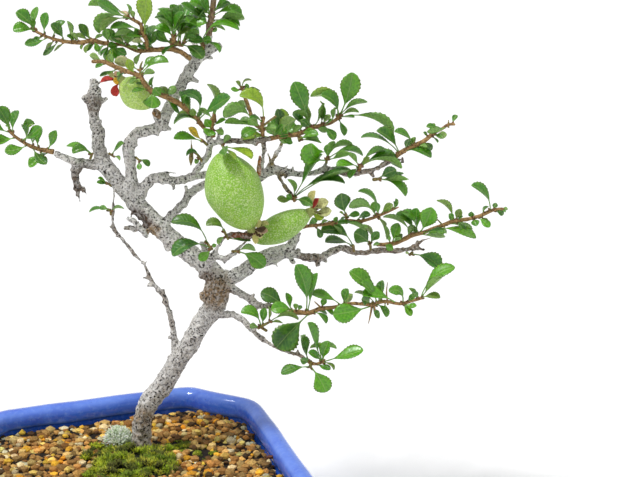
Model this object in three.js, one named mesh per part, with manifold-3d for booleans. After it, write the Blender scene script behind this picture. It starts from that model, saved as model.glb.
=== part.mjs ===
// A small flowering quince (chojubai) grown as a bonsai in a glazed blue pot with cut corners.
// Millimetres, +Z up. The tree is laid out in a sight frame, as it is seen from the front left:
// u is to the right of the trunk's foot, v is above it in the picture plane and d is nearer to the viewer.

import * as THREE from "three";
import { mergeVertices } from "three/addons/utils/BufferGeometryUtils.js";
import Module from "manifold-3d";

const wasm = await Module();
wasm.setup();

// The sight frame: how far off the viewer stands, how it looks down and round, where it aims, and how
// much nearer the tree comes for each millimetre of height, so that it stands upright.
const SIGHT = { distance: 750, pitch: 17.8, turn: 18.2, aimU: 86, aimV: 104, lean: 0.29 };

// The gap between pieces that touch.
const GAP = 0.3;

// The pot: the rim's outer edges from the trunk's foot, the heights from the soil, and the walls.
const POT = {
  right: 66,
  left: -94,
  back: 46,
  front: -114,
  rimTop: 9,
  rimDepth: 9,
  rimWidth: 8.6,
  foot: -43,
  footHeight: 7,
  footInset: 5,
  footWidth: 9,
  legGapShare: 0.42,
  floorThickness: 6,
  wallInset: 3,
  cornerCut: 29,
  cornerDip: 3,
  taper: 9,
  rimRound: 2.6,
};
const SOIL_TOP = -0.8;
const DRAIN = {
  radius: 8,
  x: 32,
  mesh: 26,
  meshThickness: 1,
  cells: 4,
  bar: 1.4,
  wire: 0.7,
  wireFoot: 5,
  roomBeside: 1,
  roomHeight: 6,
};

// The wood, one piece: each limb's points as [u, v, d, radius].
const LIMBS = [
  // trunk, from under the soil through the burl to its top at the left
  [[0, -9, -2.5, 6.4], [0.2, -3, -1, 5.9], [0.3, 2, 0, 5.1], [0.6, 10, 0, 4.8], [1.5, 15, 0, 5],
    [3.2, 20, 0, 5], [6.3, 25, 0, 5.3], [11, 30, 0.5, 5.2], [14, 35, 1, 5.1], [17, 40, 1.5, 5],
    [20, 45, 2, 5], [24, 50, 2.5, 5], [26.5, 55, 3, 4.9], [29.5, 60, 3, 5], [33, 65, 3, 5.2],
    [37, 70, 3, 5.5], [37.5, 75, 3, 7], [38.5, 80, 3, 6.5], [37, 86, 2, 5.5], [31, 92, 0, 5],
    [24, 97, -2, 4.9], [17, 102.5, -4, 4.8], [11, 108, -5, 4.8], [6, 113, -6, 4.8], [0, 119, -7, 5],
    [-5, 125, -8, 4.6], [-10, 131, -9, 4.3], [-15, 137, -10, 4.2], [-19, 143, -11, 4.2],
    [-21, 150, -12, 3.4], [-21, 157, -13, 3.4], [-23, 164, -14, 2.6], [-23.5, 169, -14, 3.2],
    [-23, 175, -15, 3.8], [-23.5, 180, -15, 2.3], [-23.8, 184, -15, 1.6]],
  // stubs and buds on the left limb
  [[-24, 172, -14, 2.4], [-27, 173.5, -14, 2.2], [-29, 175.3, -13, 1.6]],
  [[-22, 172.5, -15, 2], [-18.5, 173, -15, 1.7], [-16.3, 174.2, -15, 1.2]],
  [[-23, 178, -15, 2], [-26.3, 178, -15, 1.3]],
  [[-23, 177.5, -15, 2], [-19.6, 178.3, -15, 1.4]],
  [[-22, 181.5, -15, 1.2], [-19.6, 182.2, -14, 0.8]],
  [[-22, 162, -13, 1.6], [-19.3, 162.5, -11, 1.2]],
  // limb to the left, and the dead wood that hangs from it
  [[-18, 141.5, -11, 3], [-24, 141, -11, 3], [-30, 141.5, -11, 2.8], [-36, 143.5, -12, 2.2],
    [-43, 146.6, -14, 1.7]],
  [[-31, 142, -9.5, 3], [-33, 136, -8.5, 2.6], [-31.5, 130, -7.5, 2], [-31, 125, -6.5, 1.2],
    [-30, 121.4, -6, 0.4]],
  [[-31.5, 131, -7.5, 1.5], [-28.6, 128.5, -6.5, 1.1], [-26.5, 125.4, -6, 0.5]],
  // middle limb and its cut top
  [[0, 119, -7, 4.4], [-2.5, 125, -6, 3.8], [-4.5, 131, -5, 3.4], [-5, 140, -4, 2.8],
    [-6, 147, -4, 3.2], [-6, 152, -4, 3.2], [-3, 156, -4, 2.9], [2, 157.5, -4, 2.8], [8, 159, -4, 3.2],
    [11, 162, -4, 3.3], [13, 167, -4, 2.9], [17, 174.5, -5, 2.9], [20, 180, -5, 2.9],
    [23, 186, -5, 2.9], [26, 190, -5, 3], [29, 194, -5, 2.8], [33, 198, -5, 2.6],
    [37, 199.6, -5, 2.3], [40.6, 200.9, -5, 1.9]],
  [[-3, 157, -4, 1.8], [-1, 160.2, -3.5, 0.9]],
  [[2, 158, -4, 2], [2.6, 160.2, -3, 1.3]],
  [[8, 158, -4, 2], [9, 154.6, -3, 1.1]],
  [[12, 159.5, -4, 2.2], [15.6, 158.4, -3.5, 1.2]],
  [[-3, 152, -4, 1.8], [-1.6, 150, -3.5, 1]],
  [[22.5, 185.5, -5, 2], [26, 184, -4.5, 1.7], [29, 182, -4, 1.2]],
  [[32, 195, -5, 2], [36.5, 194, -4, 1]],
  // leader
  [[32, 197, -5, 2.3], [34, 203, -5, 2.1], [34.3, 206, -5, 1.9]],
  // fruiting spur on the middle limb
  [[10, 161, -4, 2.2], [7.8, 164.5, -1, 1.9], [6.6, 167, 1, 1.5]],
  // short limbs behind and to the left of the leader
  [[28, 192, -5, 2.2], [24, 194.5, -4, 1.8], [20, 197.5, -3, 1.7], [15, 199.3, -2, 1.6],
    [11.5, 198.7, -1, 1.5]],
  [[29, 195, -6, 2], [27.5, 201, -18, 1.6], [23, 207, -31, 1.3]],
  // right limb from the fork
  [[-1, 125, -6, 3.6], [2, 130, -5, 3], [6, 134.3, -4, 2.9], [10, 134.2, -3, 2.8], [15, 133, -2.5, 2.3],
    [20, 133.2, -2, 2.2], [25, 134.3, -3, 2.4], [30, 135.6, -5, 2.2], [37, 136.5, -9, 2.2],
    [45, 136, -11, 2.2], [52, 134.5, -9, 2.3], [57, 134, -7, 2.5], [60, 135.5, -6, 2.6],
    [64, 137, -6, 2.3], [68, 138.5, -6, 2.4], [72, 137.5, -6, 2.2], [76, 136.5, -6, 2],
    [80, 136, -6, 1.8], [86, 136.6, -5, 1.7], [92, 138.5, -4, 2.1], [97, 138, -3, 1.8],
    [103, 136, -1, 1.5], [109, 137, 1, 1.7], [115, 138, 3, 1.5], [120, 140, 5, 1.5],
    [125.3, 143.2, 7, 1.5]],
  [[9, 136, -3.5, 1.4], [13, 137.2, -3.5, 0.9], [19, 136.4, -3, 0.4]],
  [[15.5, 132, -2, 1.4], [17, 128.7, -1.5, 1]],
  [[71, 138.5, -6, 1], [74, 140.6, -5.5, 0.6]],
  [[76, 137, -6, 1.2], [76.2, 140.3, -5.5, 0.9]],
  [[72, 136, -6, 1], [72.8, 133.6, -5.5, 0.8]],
  [[92, 139.5, -4, 1.4], [92.8, 142, -3, 0.9]],
  [[115, 137, 3, 1.2], [116.8, 134.7, 4, 1.1]],
  [[123.5, 142.3, 6.6, 1.1], [127, 143, 7.5, 1.1], [130.6, 143.4, 8, 0.9]],
  // its upright and its two young shoots
  [[60.4, 136, -6, 1.5], [61, 143, -4, 1.2], [61.8, 149, 0, 1.3], [61.6, 154.8, 5, 1.5]],
  [[76, 125.8, -2, 1.2], [72, 130, -3, 1.2], [69, 135.5, -5, 1.2], [66, 141, -6, 1.1],
    [63.4, 146.8, -5, 0.8]],
  // limb behind it, carrying leaves at the back
  [[62, 136, -7, 1.8], [66, 143, -20, 1.5], [70, 150, -32, 1.2]],
  // fruiting spur in front, and the brown limb above it
  [[26, 135.5, -2, 2], [29, 139.5, 0, 1.8], [31, 142.2, 3, 1.8], [34, 146, 6, 2.2], [34.5, 149.5, 7, 1.9],
    [35.5, 153.5, 7.5, 1.7]],
  [[35, 152, 7, 1.7], [33.6, 155.5, 6.5, 1.3], [32, 158.6, 6.3, 1.2]],
  [[36, 151.5, 7, 1.6], [40, 152.5, 8, 1.5], [47, 153, 8, 1.7], [55, 152.5, 7, 1.8], [62, 153.2, 5, 1.7],
    [65, 153.9, 3.5, 1.5]],
  [[57, 153.5, 7, 1], [57.6, 156, 7, 0.9]],
  [[56.5, 151.5, 7, 1.2], [58.6, 150.2, 7.5, 0.9]],
  [[38.5, 153, 8, 1.2], [40.4, 159.8, 8, 1.1]],
  // limb up and back behind the large fruit
  [[11, 110, -5, 3.2], [14, 114, -6, 2.3], [18, 118, -8, 2.3], [22, 122.5, -10, 2.3], [25, 127, -12, 2.4],
    [29, 129.5, -14, 2.3], [34, 132.3, -18, 2], [40, 133.5, -25, 1.7], [45, 131, -33, 1.3],
    [47, 127.4, -39, 1]],
  [[22.6, 125.5, -10.5, 1.5], [23, 130.3, -10, 1.1]],
  // broken wood at the old wound
  [[6, 111, -5, 3], [2, 109.4, -3.5, 2], [-2, 108.8, -3, 2], [-5.5, 109.4, -2.5, 1.9],
    [-8.3, 109, -2.5, 1.4]],
  [[-4, 116.5, -4, 1.6], [-5.3, 113.8, -2, 1], [-1.5, 111.3, -1, 1.3], [1.3, 108, -1.5, 1.2],
    [4, 105.8, -3.5, 1.2]],
  // lower right limb, its fork and the long brown branch
  [[38, 78, 3, 5], [41, 80.5, 3, 4.6], [45, 84, 2, 3.8], [50, 87, 0, 3.7], [55, 90.5, -2, 3.6],
    [59, 93.5, -4, 3], [62, 96.3, -6, 2.4], [66, 98, -7, 2.3], [71, 98.7, -8, 2.2], [75, 100, -8, 2.7],
    [77, 104, -9, 2.7], [78.5, 107.6, -10, 2.2]],
  [[58, 91.8, -3, 2.4], [64, 91.9, -5, 1.6], [68, 93, -6, 1.6], [71, 95, -7, 1.7], [75, 96.8, -8, 2],
    [80, 95.3, -10, 2.1], [85, 94.2, -12, 2.5], [88, 94.6, -13, 2.6], [91, 94.8, -14, 2.2],
    [95, 97, -16, 2], [100, 99.4, -18, 1.9], [104, 98, -20, 1.9], [108, 96.9, -21, 1.6],
    [112, 97, -22, 1.5], [117, 97.6, -24, 1.7], [122, 98.3, -25, 1.7], [127, 97.8, -26, 1.5],
    [133, 98.5, -27, 1.3], [137.5, 99.7, -28, 1.5]],
  [[66, 92.2, -5.5, 1.1], [68.7, 90.2, -4.5, 0.6]],
  [[74, 96.3, -8, 1.4], [75.5, 93.3, -6, 1.4], [77, 91.3, -4.5, 1.2]],
  [[78, 98, -9, 1.4], [79.8, 98, -8.5, 0.9]],
  [[88.3, 93.5, -13, 1.8], [88.9, 90.2, -12.5, 1.2]],
  [[91.6, 93.6, -14, 1.3], [93, 92, -13.5, 1]],
  [[94, 97.2, -15.5, 1.1], [94.6, 99, -15.5, 0.8]],
  [[99.5, 100, -18, 1.4], [100, 101, -18, 0.9]],
  [[102, 99.5, -19, 1.3], [102.6, 101, -19, 0.6]],
  [[137.5, 99.6, -28, 1.2], [142.3, 98.1, -28, 0.9]],
  [[137.6, 99.7, -28, 1.2], [138.5, 103.3, -27.5, 0.9]],
  [[138, 100.3, -28, 0.9], [141, 103, -27.5, 0.7], [145.3, 104.5, -27, 0.5]],
  // second limb to the right
  [[40, 79.5, 3, 3.6], [46, 79, 6, 2.6], [50, 76.8, 8, 2.2], [54, 74.3, 11, 2.2], [57.5, 71.5, 13, 2.3],
    [60, 70.4, 15, 1.9], [64, 70, 17, 1.6], [69.5, 68.4, 20, 1.6]],
  [[46, 78.3, 6.5, 1.5], [46.4, 75.8, 7.5, 1]],
  [[55.5, 74, 12, 1.4], [56.8, 76.3, 12.5, 0.9]],
  [[57.6, 70.8, 13.5, 1.8], [56.3, 69, 14, 1.1]],
  [[58.6, 70.4, 14, 1], [58.4, 68.1, 14, 0.6]],
  // lowest limb to the right
  [[36, 67, 4, 3], [40, 65.6, 6, 2], [46, 66, 9, 1.9], [50, 64, 12, 1.8], [53.5, 61, 15, 1.7],
    [55.5, 58.5, 17, 1.6], [58, 56, 19, 1.4], [61, 53.5, 21, 1.3], [65, 51, 24, 1.2],
    [70, 48.6, 28, 1.2], [75, 47, 31, 1.1], [79, 46, 33, 1.1], [82, 44.2, 35, 1.1]],
  [[55.6, 58.8, 17, 1.2], [58.6, 59.4, 19, 0.9]],
  [[55, 59, 16.5, 1.2], [53.8, 57.6, 16.5, 0.8]],
  [[74.6, 47, 30.5, 0.9], [74.5, 45.6, 31, 0.7]],
  [[78.6, 46.5, 33, 0.9], [78.6, 49, 33, 0.8]],
  // fruiting spur on the trunk, with the stalks of the two front fruits
  [[33.5, 89, 4, 2.6], [36, 93.5, 9, 2.1], [37, 96.5, 11, 1.7]],
  [[34.5, 93, 8, 2], [32, 98, 9.5, 2.2], [31, 102.4, 10, 1.4]],
  [[36.5, 95.5, 10.5, 1.6], [39.5, 94.5, 12, 1.7], [42.2, 93.8, 13, 2.3], [46, 96, 14, 1.4]],
  [[42.2, 94, 13, 1.5], [42, 91.3, 13, 0.9]],
  [[36.5, 96, 11, 1.3], [39, 100.5, 12, 1.1], [42, 104.4, 13, 1.1], [44.5, 105.9, 13.6, 1.4],
    [48, 106.3, 13.6, 1.5], [51.6, 105.9, 13, 1.3]],
  [[46, 96, 14, 1.2], [50, 100, 12.5, 1], [53.6, 103.4, 10, 0.9]],
  // thin sucker up the left side
  [[19, 43, 2, 2.6], [17.5, 47, 1.5, 2.1], [17, 55, 1, 1.9], [16, 60, 0.5, 1.6], [15, 65, 0, 1.6],
    [13.5, 70, 0, 1.4], [12, 75, -0.5, 1.4], [9.5, 78, -1, 1.4], [6, 82, -1.5, 1.2], [4, 86, -2, 1],
    [2, 91, -2, 0.9], [-3, 96, -3, 0.9], [-6, 100, -3.5, 0.9], [-10, 104.6, -4, 0.9],
    [-13, 108, -4.5, 0.9], [-14, 112, -5, 0.8], [-13.8, 117, -5, 0.9], [-13.5, 122, -6, 0.7],
    [-13.3, 130, -7, 0.7]],
  [[15.5, 54.3, 1, 1], [13.8, 54.6, 1.5, 0.8]],
  [[16.3, 61.5, 0.5, 1], [17.6, 62, 0.5, 0.7]],
  [[12.5, 72.5, 0, 1], [10.6, 72.2, 0.5, 0.8]],
  [[11.5, 76, -0.5, 1.1], [11.6, 78.8, -0.5, 0.8]],
  [[7, 80.5, -1, 1.1], [3.2, 80.8, -0.5, 1.3]],
  [[5, 83.8, -1.5, 0.9], [1, 84.6, -1, 0.8]],
  [[2.2, 91, -2, 0.7], [4, 94.3, -1.5, 0.25]],
  [[-3, 95.6, -3, 0.6], [-5, 94.2, -2.5, 0.25]],
  [[-10.5, 105, -4, 0.6], [-13.8, 104.6, -3.5, 0.25]],
  [[-13.8, 109, -4.5, 0.6], [-17, 111, -4, 0.25]],
  // knobs on the trunk and its surface roots
  [[34, 76, 3, 4], [29.8, 75, 3.5, 1.8]],
  [[25.5, 50.5, 3, 3], [28.5, 49.8, 3, 1.4]],
  [[42, 86, 2, 2], [43.2, 88.3, 2.5, 1.1]],
  [[47, 86.5, 1.5, 2], [47.3, 89, 2, 1.1]],
  [[14, 101, -3, 3], [13, 97.6, -1.5, 1.2]],
  [[32, 87, 1.5, 3.2], [29.5, 84, 2.5, 1.2]],
  [[0, 0, 0, 3.6], [-5, -2.5, 2, 2.4], [-9, -6, 4, 1.5]],
  [[1, 0, 0, 3.6], [6.5, -2.5, 3, 2.2], [11, -7, 5, 1.3]],
  [[1, 1, -1, 3.4], [3, 0, -8, 2], [3, -2.5, -14, 1.2]],
];

// Leafy shoots and leaf clusters. Stems are limbs as above. A leaf is
// [foot u, foot v, tip u, tip v, width seen, bow to its left, how much nearer its tip is, side seen],
// where the side seen is 1 for the glossy upper side and -1 for the pale underside.
const LEAFAGE = [
  {
    name: "leafy_shoot_top_left",
    stems: [
      [[10, 198.4, 0, 1.4], [4, 198.2, 0, 1.4], [-2, 198, 0, 1.2], [-8, 200.5, -1, 0.9],
        [-14, 201.2, -1, 1], [-20, 202, -1, 1.3], [-24, 203, 0, 1.4], [-30, 202, 1, 1.2],
        [-38, 202.5, 2, 1.1], [-47, 205, 3, 0.9], [-55, 209, 3, 0.7]],
      [[3, 199, 1, 1.3], [3, 203, 2, 1.1], [1, 207, 2, 1.4], [0, 211, 2, 1.1], [-4, 213.5, 2, 0.9],
        [-8, 215.3, 2, 0.6]],
    ],
    leaves: [
      [-23.5, 205, -31, 211, 2.6, 0, -3, 1], [-30, 202, -35, 207, 3, 0, 2, -1],
      [-34, 203, -36, 213, 2.4, 0, -2, -1], [-24, 204, -19, 206.3, 1.4, 0, 2, -1],
      [-24, 202, -27.5, 196.8, 2.4, -0.6, 4, 1], [-24, 202, -21.5, 197.3, 2.8, 0.6, 3, 1],
      [-14.5, 201, -20.5, 195.7, 2.6, 0, 3, 1], [-10.5, 200.8, -16, 200.2, 4, 0, 6, 1],
      [-13.5, 200.5, -7, 196.3, 4.6, -1, 6, 1], [-14, 200.5, -15.5, 191.5, 4, 0, 5, 1],
      [-8, 200.5, -1.5, 198.8, 2, 0, 4, 1], [5, 199, -1.5, 200.5, 2, 0, 4, 1],
      [-16, 202, -17.5, 209, 4, 0, 1, 1], [3, 205, 3, 226, 8, 0.4, 6, 1],
      [-7, 215.3, -22, 207.5, 3, -4, -6, -1], [-3, 213.5, -10.5, 218, 2.6, 0, -4, 1],
      [-4, 213.8, -26, 222, 3.6, -2, -6, -1], [-1, 207, -15.5, 210.3, 3.6, -1.5, 5, 1],
      [0, 206, -13, 206, 3, -0.5, 4, -1], [-5.5, 201, -14, 204, 2.6, 0, 2, -1],
      [1, 204.5, -7, 205, 3, 0, 6, 1], [3, 201.5, -4, 203.6, 2.6, 0, 7, -1],
      [-38, 202.5, -45, 211, 4.5, -1, 3, 1], [-41, 203.3, -49, 196, 4.5, 1, 3, 1],
      [-46, 205, -58, 201.5, 4.5, 1, 5, 1], [-48, 205.5, -47, 217, 5, 0.6, 2, 1],
      [-52, 207.5, -64, 208.5, 5, -1, 3, 1], [-55, 209, -62, 218, 5, -0.8, 2, 1],
      [-55, 209, -52, 220, 4.6, 0.5, -4, 1], [-44, 204.3, -38, 213, 4.2, 0.8, -5, 1],
    ],
  },
  {
    name: "leaf_cluster_top",
    stems: [
      [[16, 201.6, 0, 1.5], [16.5, 204, 1, 1.5], [17.5, 206.5, 1, 0.8]],
      [[16.3, 202, 0.5, 1], [20.8, 200.6, -1, 1.1], [21.6, 203, -1.5, 0.9]],
    ],
    leaves: [
      [15, 202, 7, 205.6, 3.6, 0.5, 4, 1], [15.5, 203, 7, 210, 4, -2.4, 2, 1],
      [16.5, 205, 7, 214.6, 3.4, -3, 3, 1], [17, 206, 8.5, 217, 5, -1, -3, -1],
      [19, 203, 8.5, 219, 3.6, -5, -5, 1], [19.5, 203, 20, 221, 6, 0, -4, 1],
      [18, 204, 31, 211, 3.8, 5.5, 2, 1], [21.5, 202.5, 27, 212.5, 3, 0.5, -3, -1],
      [20, 202, 20.5, 212, 1.4, 0, 1, 1], [19.5, 200.5, 31.3, 194, 6, 1.6, 6, 1],
      [18.5, 200.3, 11, 195.8, 2.8, -1, 5, 1],
    ],
  },
  {
    name: "leaf_cluster_leader",
    stems: [[[31, 200.5, -3, 1], [30.2, 202, -2, 1]]],
    leaves: [
      [30.3, 201.5, 23.5, 205.5, 3.6, -0.5, 4, 1], [30, 202, 50.5, 210.7, 3, 6, 6, 1],
      [30.3, 201.2, 35.5, 203, 4, 1, 5, 1], [30.8, 201, 40.5, 197.5, 2.6, 2.4, 6, 1],
    ],
  },
  {
    name: "leafy_shoot_leader",
    stems: [[[34.3, 206.8, -5, 1.9], [34.5, 210, -5, 2], [35.5, 215, -5, 1.8], [36.5, 223, -5, 1.6],
      [37.5, 231, -6, 1.4], [36, 239, -7, 1.1], [33.5, 246, -7, 0.8]]],
    leaves: [
      [34, 211, 20.5, 222, 3.6, 0, 4, 1], [35, 214.5, 24.5, 222.3, 4, -1.5, 3, 1],
      [35, 209.3, 42.5, 208.3, 1.4, 1, 3, -1], [36, 214.5, 51, 216.7, 5.6, 2.5, 4, 1],
      [36, 217, 43, 223.5, 3, 0, 3, 1], [35.5, 215.5, 30, 224.5, 4, 0, 4, 1],
      [36.6, 224, 25, 228, 5, -2, 5, 1], [37, 226, 49, 229, 5, 2, 4, 1],
      [37, 228, 45, 238, 5, 1.5, -7, 1], [37.5, 230, 27, 237, 4.6, -2, -7, 1],
      [37.3, 232, 49, 237.5, 5, 2, 6, 1], [37, 235, 26, 243, 5, -1.5, 3, 1],
      [36.5, 237, 46, 246, 4.6, 1.5, 3, 1], [36, 239, 39, 252, 5, -1, 5, 1],
      [35, 242, 24, 249, 4.6, -2, 2, 1], [34.5, 243, 43, 253, 4.6, 1.5, -5, 1],
      [33.5, 246, 31, 258, 5, 1, 1, 1], [33.5, 246, 24, 254.5, 4, -1, 5, 1],
      [37, 227, 39, 240, 4.6, 0, -11, 1], [37, 226, 33, 236, 4.6, 0, 10, 1],
    ],
  },
  {
    name: "leafy_shoot_above_fruit",
    stems: [
      [[31, 160.4, 6.2, 1.3], [27.5, 164.5, 7, 1.3], [24, 167.5, 8, 1.4], [20, 171, 10, 1.5],
        [16, 173.3, 12, 1.5], [10, 175.8, 13, 1.4], [5, 178, 13, 1.5], [2, 181.5, 13, 1.4],
        [0, 185, 13, 1.4], [-3, 186.4, 13, 1.4], [-8, 188, 13, 1.3], [-13, 190, 13, 1.3],
        [-18, 192.3, 13, 1.2], [-24, 192.5, 13, 1]],
      [[0, 186, 13, 0.9], [0, 190, 12, 0.7], [1, 192.6, 12, 0.3]],
    ],
    leaves: [
      [-1.5, 187, -6, 193.8, 4, 1, 2, 1], [-3, 187, -13, 192.5, 4.6, -2.5, -3, -1],
      [1, 186, 14, 193.3, 4.6, 2, 3, 1], [1, 185.5, 7, 187.7, 2.6, 0.5, 5, -1],
      [0, 188, 7, 195.3, 3, 0, -3, 1], [-17, 192, -22.5, 189.3, 2.6, 0, 4, 1],
      [-11, 189.3, -20.5, 185.5, 2.4, 0.5, 4, 1], [4.5, 178.4, -4.5, 177.8, 2.4, -0.5, 4, 1],
      [5, 177.6, 5.2, 169.2, 8.4, 0.6, 4, 1], [11.5, 175.3, 7, 179.5, 5, 0.5, 4, 1],
      [12.5, 175, 17, 180.4, 4, -0.5, -4, -1], [13.5, 174.3, 20, 167.3, 2.8, -1, -4, 1],
      [25, 166.8, 21, 173.5, 2, -0.5, -3, 1], [28, 164, 26, 169, 3.6, 0.5, 3, 1],
      [30, 161.7, 16, 162, 2.8, -3, 4, 1], [28.8, 163.3, 44.5, 175, 7, 0.6, 11, 1],
      [28, 164, 19, 177, 5, -6.5, -5, 1],
    ],
  },
  {
    name: "leaf_cluster_spur",
    stems: [[[36.2, 156.4, 8.4, 1.3], [35.6, 160, 9, 1.3], [36.5, 163.5, 9, 1.5], [37, 166.6, 9, 0.7]]],
    leaves: [
      [35.7, 158.5, 32.3, 163.5, 4, 0, 4, 1], [36, 159.5, 33.5, 155.4, 6.4, 0, 5, 1],
      [36.2, 160, 42, 164, 2.6, 0, 4, 1], [36.8, 164, 38.7, 171.3, 1.6, 0, 2, -1],
      [36.6, 165, 34.3, 182, 1.8, -2, -3, 1], [36, 163, 29.2, 168.7, 1.4, -1, -5, -1],
      [36.4, 158.5, 41.8, 156.8, 3, 0, 4, -1],
    ],
  },
  {
    name: "leaf_cluster_yellow",
    stems: [[[32.6, 151.6, 8.4, 0.9], [31.4, 152.8, 9.5, 0.8]]],
    leaves: [
      [32, 152.4, 16.5, 154, 5.6, -1, 3, 1], [32, 153, 24.5, 159.6, 3.4, 0.5, 4, 1],
    ],
  },
  {
    name: "leaf_cluster_over_fruit",
    stems: [[[41, 150.6, 9, 0.9], [41.5, 149.4, 12, 0.8]]],
    leaves: [
      [41, 150.4, 42.8, 145.8, 5, 0, 20, 1], [41.5, 150, 55.5, 143.6, 4, 1.4, 10, 1],
      [41.5, 149.8, 47, 144.2, 2, 0.5, 20, 1], [41, 150.3, 44.6, 155.6, 3, 0.3, 3, -1],
    ],
  },
  {
    name: "leaf_cluster_dry_bud",
    stems: [
      [[30, 143.8, 5.4, 0.8], [28.4, 146, 6.5, 0.8], [25.6, 148, 5, 0.8]],
      [[25.4, 151.6, 4.6, 0.2], [25.6, 148, 5, 0.9], [25.3, 144, 5, 1.5], [25.2, 140.5, 5, 0.2]],
    ],
    leaves: [
      [29.8, 144.2, 22.3, 146, 2.6, -2.6, 4, 1], [29.6, 144.3, 27, 142.6, 2.6, 0.5, 4, -1],
    ],
  },
  {
    name: "leafy_shoot_middle",
    stems: [
      [[66, 154.2, 3, 1.5], [70, 155, 0, 1.4], [76, 155.6, -4, 1.4], [80, 156.6, -7, 1.4],
        [85, 159, -11, 1.3], [90, 160.6, -15, 1.2], [95, 161.8, -18, 1.1], [98, 163.6, -20, 1],
        [99.8, 165.6, -21, 0.9]],
      [[79, 156, -6, 1], [79.5, 152.8, -4, 0.9]],
    ],
    leaves: [
      [100, 165.6, 106, 187, 9.5, -1, 4, 1], [100, 165.5, 113.5, 172.6, 2.6, 2, 5, -1],
      [100, 165, 109.5, 167.5, 1.4, 1, 3, -1], [99.5, 164.8, 107, 164.7, 1.2, 0, 5, 1],
      [99.3, 165, 84.3, 177, 4.6, -5, 2, -1], [98.5, 164.5, 90.3, 176.5, 4.6, -3, 5, 1],
      [99, 164.2, 126.3, 156.5, 4.6, 4.5, 3, -1], [99.5, 164, 102.5, 155.6, 3, 0, 5, 1],
      [91, 160.3, 97.2, 153.4, 4, 0.5, 5, 1], [90.5, 161, 91.2, 170.2, 4, 0, 2, 1],
      [86, 159.8, 91, 173, 2.2, -1.5, -3, -1], [85.8, 159.8, 83, 171.8, 2, 1, 3, -1],
      [84.8, 159.5, 77, 182.3, 9, -0.5, 4, 1], [72, 155.4, 70.5, 169, 5, 0, -3, 1],
      [84, 159, 76, 167, 2, -3, 3, -1], [84.5, 159, 80.3, 163, 4, -0.5, 5, 1],
      [90.8, 161, 95.8, 163.6, 1.6, -0.5, 4, 1], [74, 155.6, 76, 165, 4.6, 1, 4, -1],
      [68, 154.7, 64.5, 162, 4, 0, 3, -1], [74.5, 155.7, 80.3, 160.5, 3, 0, 6, -1],
      [67, 154.5, 60, 157.3, 1.8, -2.5, 4, 1], [76, 155.6, 69, 155.3, 3.4, -0.5, 6, 1],
      [79.5, 153.2, 89, 156, 3.4, 1, 4, 1], [79.5, 153, 90.5, 152, 1.4, 0.5, 4, -1],
    ],
  },
  {
    name: "leafy_shoot_upright",
    stems: [
      [[61, 157, 6.3, 1.3], [60.8, 159.5, 7, 1.2], [61.5, 164.5, 7, 1.1]],
      [[60.8, 158.6, 6.6, 1.1], [57, 161.5, 5, 1.2], [55.5, 165, 4, 1.2], [54, 170, 3, 1.1],
        [52, 175, 3, 1], [50.5, 180, 3, 0.7]],
      [[61, 160, 7, 0.8], [64, 162.5, 7, 0.7], [67.5, 165, 7, 0.8]],
    ],
    leaves: [
      [61, 164, 49.3, 176, 6, -5, 4, 1], [51, 178.5, 45.3, 179, 2.6, 0.5, 3, 1],
      [51, 178.3, 59.7, 178.8, 2.2, -0.5, -4, 1], [50.6, 179.5, 47.9, 182.8, 1.4, 0, 2, 1],
      [50.6, 179.8, 55.6, 183.2, 1.2, 2, 1, 1], [57, 161.5, 41, 165, 6, -5, 4, -1],
      [57.5, 161, 42, 161.6, 2.6, 0, -3, -1], [60.5, 158, 50.8, 155, 5, -1.5, 7, 1],
      [60, 159, 54.5, 164.5, 6, 0, 5, -1], [61, 161.5, 54.5, 164, 2, -1.5, 8, 1],
      [61.5, 159, 67.7, 159, 3.6, 0.5, 5, -1],
    ],
  },
  {
    name: "leaf_cluster_behind_fruit",
    stems: [[[47.2, 126.4, -40.4, 0.9], [47.4, 125, -42, 0.8]]],
    leaves: [
      [47.2, 126, 37, 131, 5, 1, -2, 1], [47.2, 126, 51, 136, 5, 1, 3, 1],
      [47.4, 125.5, 56, 130, 5, 1, -3, 1], [47.4, 125, 54.5, 118, 5, 0, -5, 1],
      [47.3, 125, 40.5, 118, 5, 0, -3, 1], [47.4, 125.5, 44, 136, 4.6, 0, -6, 1],
    ],
  },
  {
    name: "leaf_cluster_left_spur",
    stems: [[[33.2, 101.8, 11.8, 0.9], [34.4, 100.2, 13.2, 0.8], [35.8, 98.6, 13.4, 0.8]]],
    leaves: [
      [33.6, 101.2, 15, 112.7, 6, -5, 4, 1], [35.3, 99, 15.5, 95.5, 6.4, -4, 4, 1],
      [35.6, 98.6, 29, 93.5, 4.6, 0.5, 4, 1], [34.8, 99.7, 37.9, 100.9, 2, 0, 3, 1],
    ],
  },
  {
    name: "leaf_cluster_stalk",
    stems: [[[42, 107.3, 16.2, 0.8], [43.8, 103.6, 16.4, 0.7]]],
    leaves: [
      [42.3, 107, 32.8, 110.5, 4, -2.8, 3, 1], [43, 105.4, 38.4, 101.3, 2.6, -0.5, 4, -1],
      [43.6, 104, 55, 103.8, 2.2, -0.5, 3, 1],
    ],
  },
  {
    name: "leaf_on_stalk",
    stems: [[[47, 97.6, 15.9, 0.8], [48.4, 97.6, 17, 0.7]]],
    leaves: [[48, 97.6, 62, 89.6, 7.6, 1.4, 5, 1], [48.2, 97.8, 57.5, 98.4, 3, 1, 6, -1]],
  },
  {
    name: "leaf_cluster_above_small_fruit",
    stems: [[[76.4, 124.4, -1, 1.1], [77, 122.8, 2, 0.9]]],
    leaves: [
      [76.5, 123.5, 68.3, 124, 3.6, 0.5, 4, 1], [76.8, 124.5, 74, 134, 2.6, -1.5, 3, -1],
      [77, 123.5, 85.6, 120.8, 4.6, 1, 12, 1], [76.7, 123.3, 73, 125.6, 3, 0, 5, 1],
      [77, 124.3, 102.5, 132, 5.6, 4.5, 3, 1],
    ],
  },
  {
    name: "leaf_cluster_big_leaf",
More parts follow.
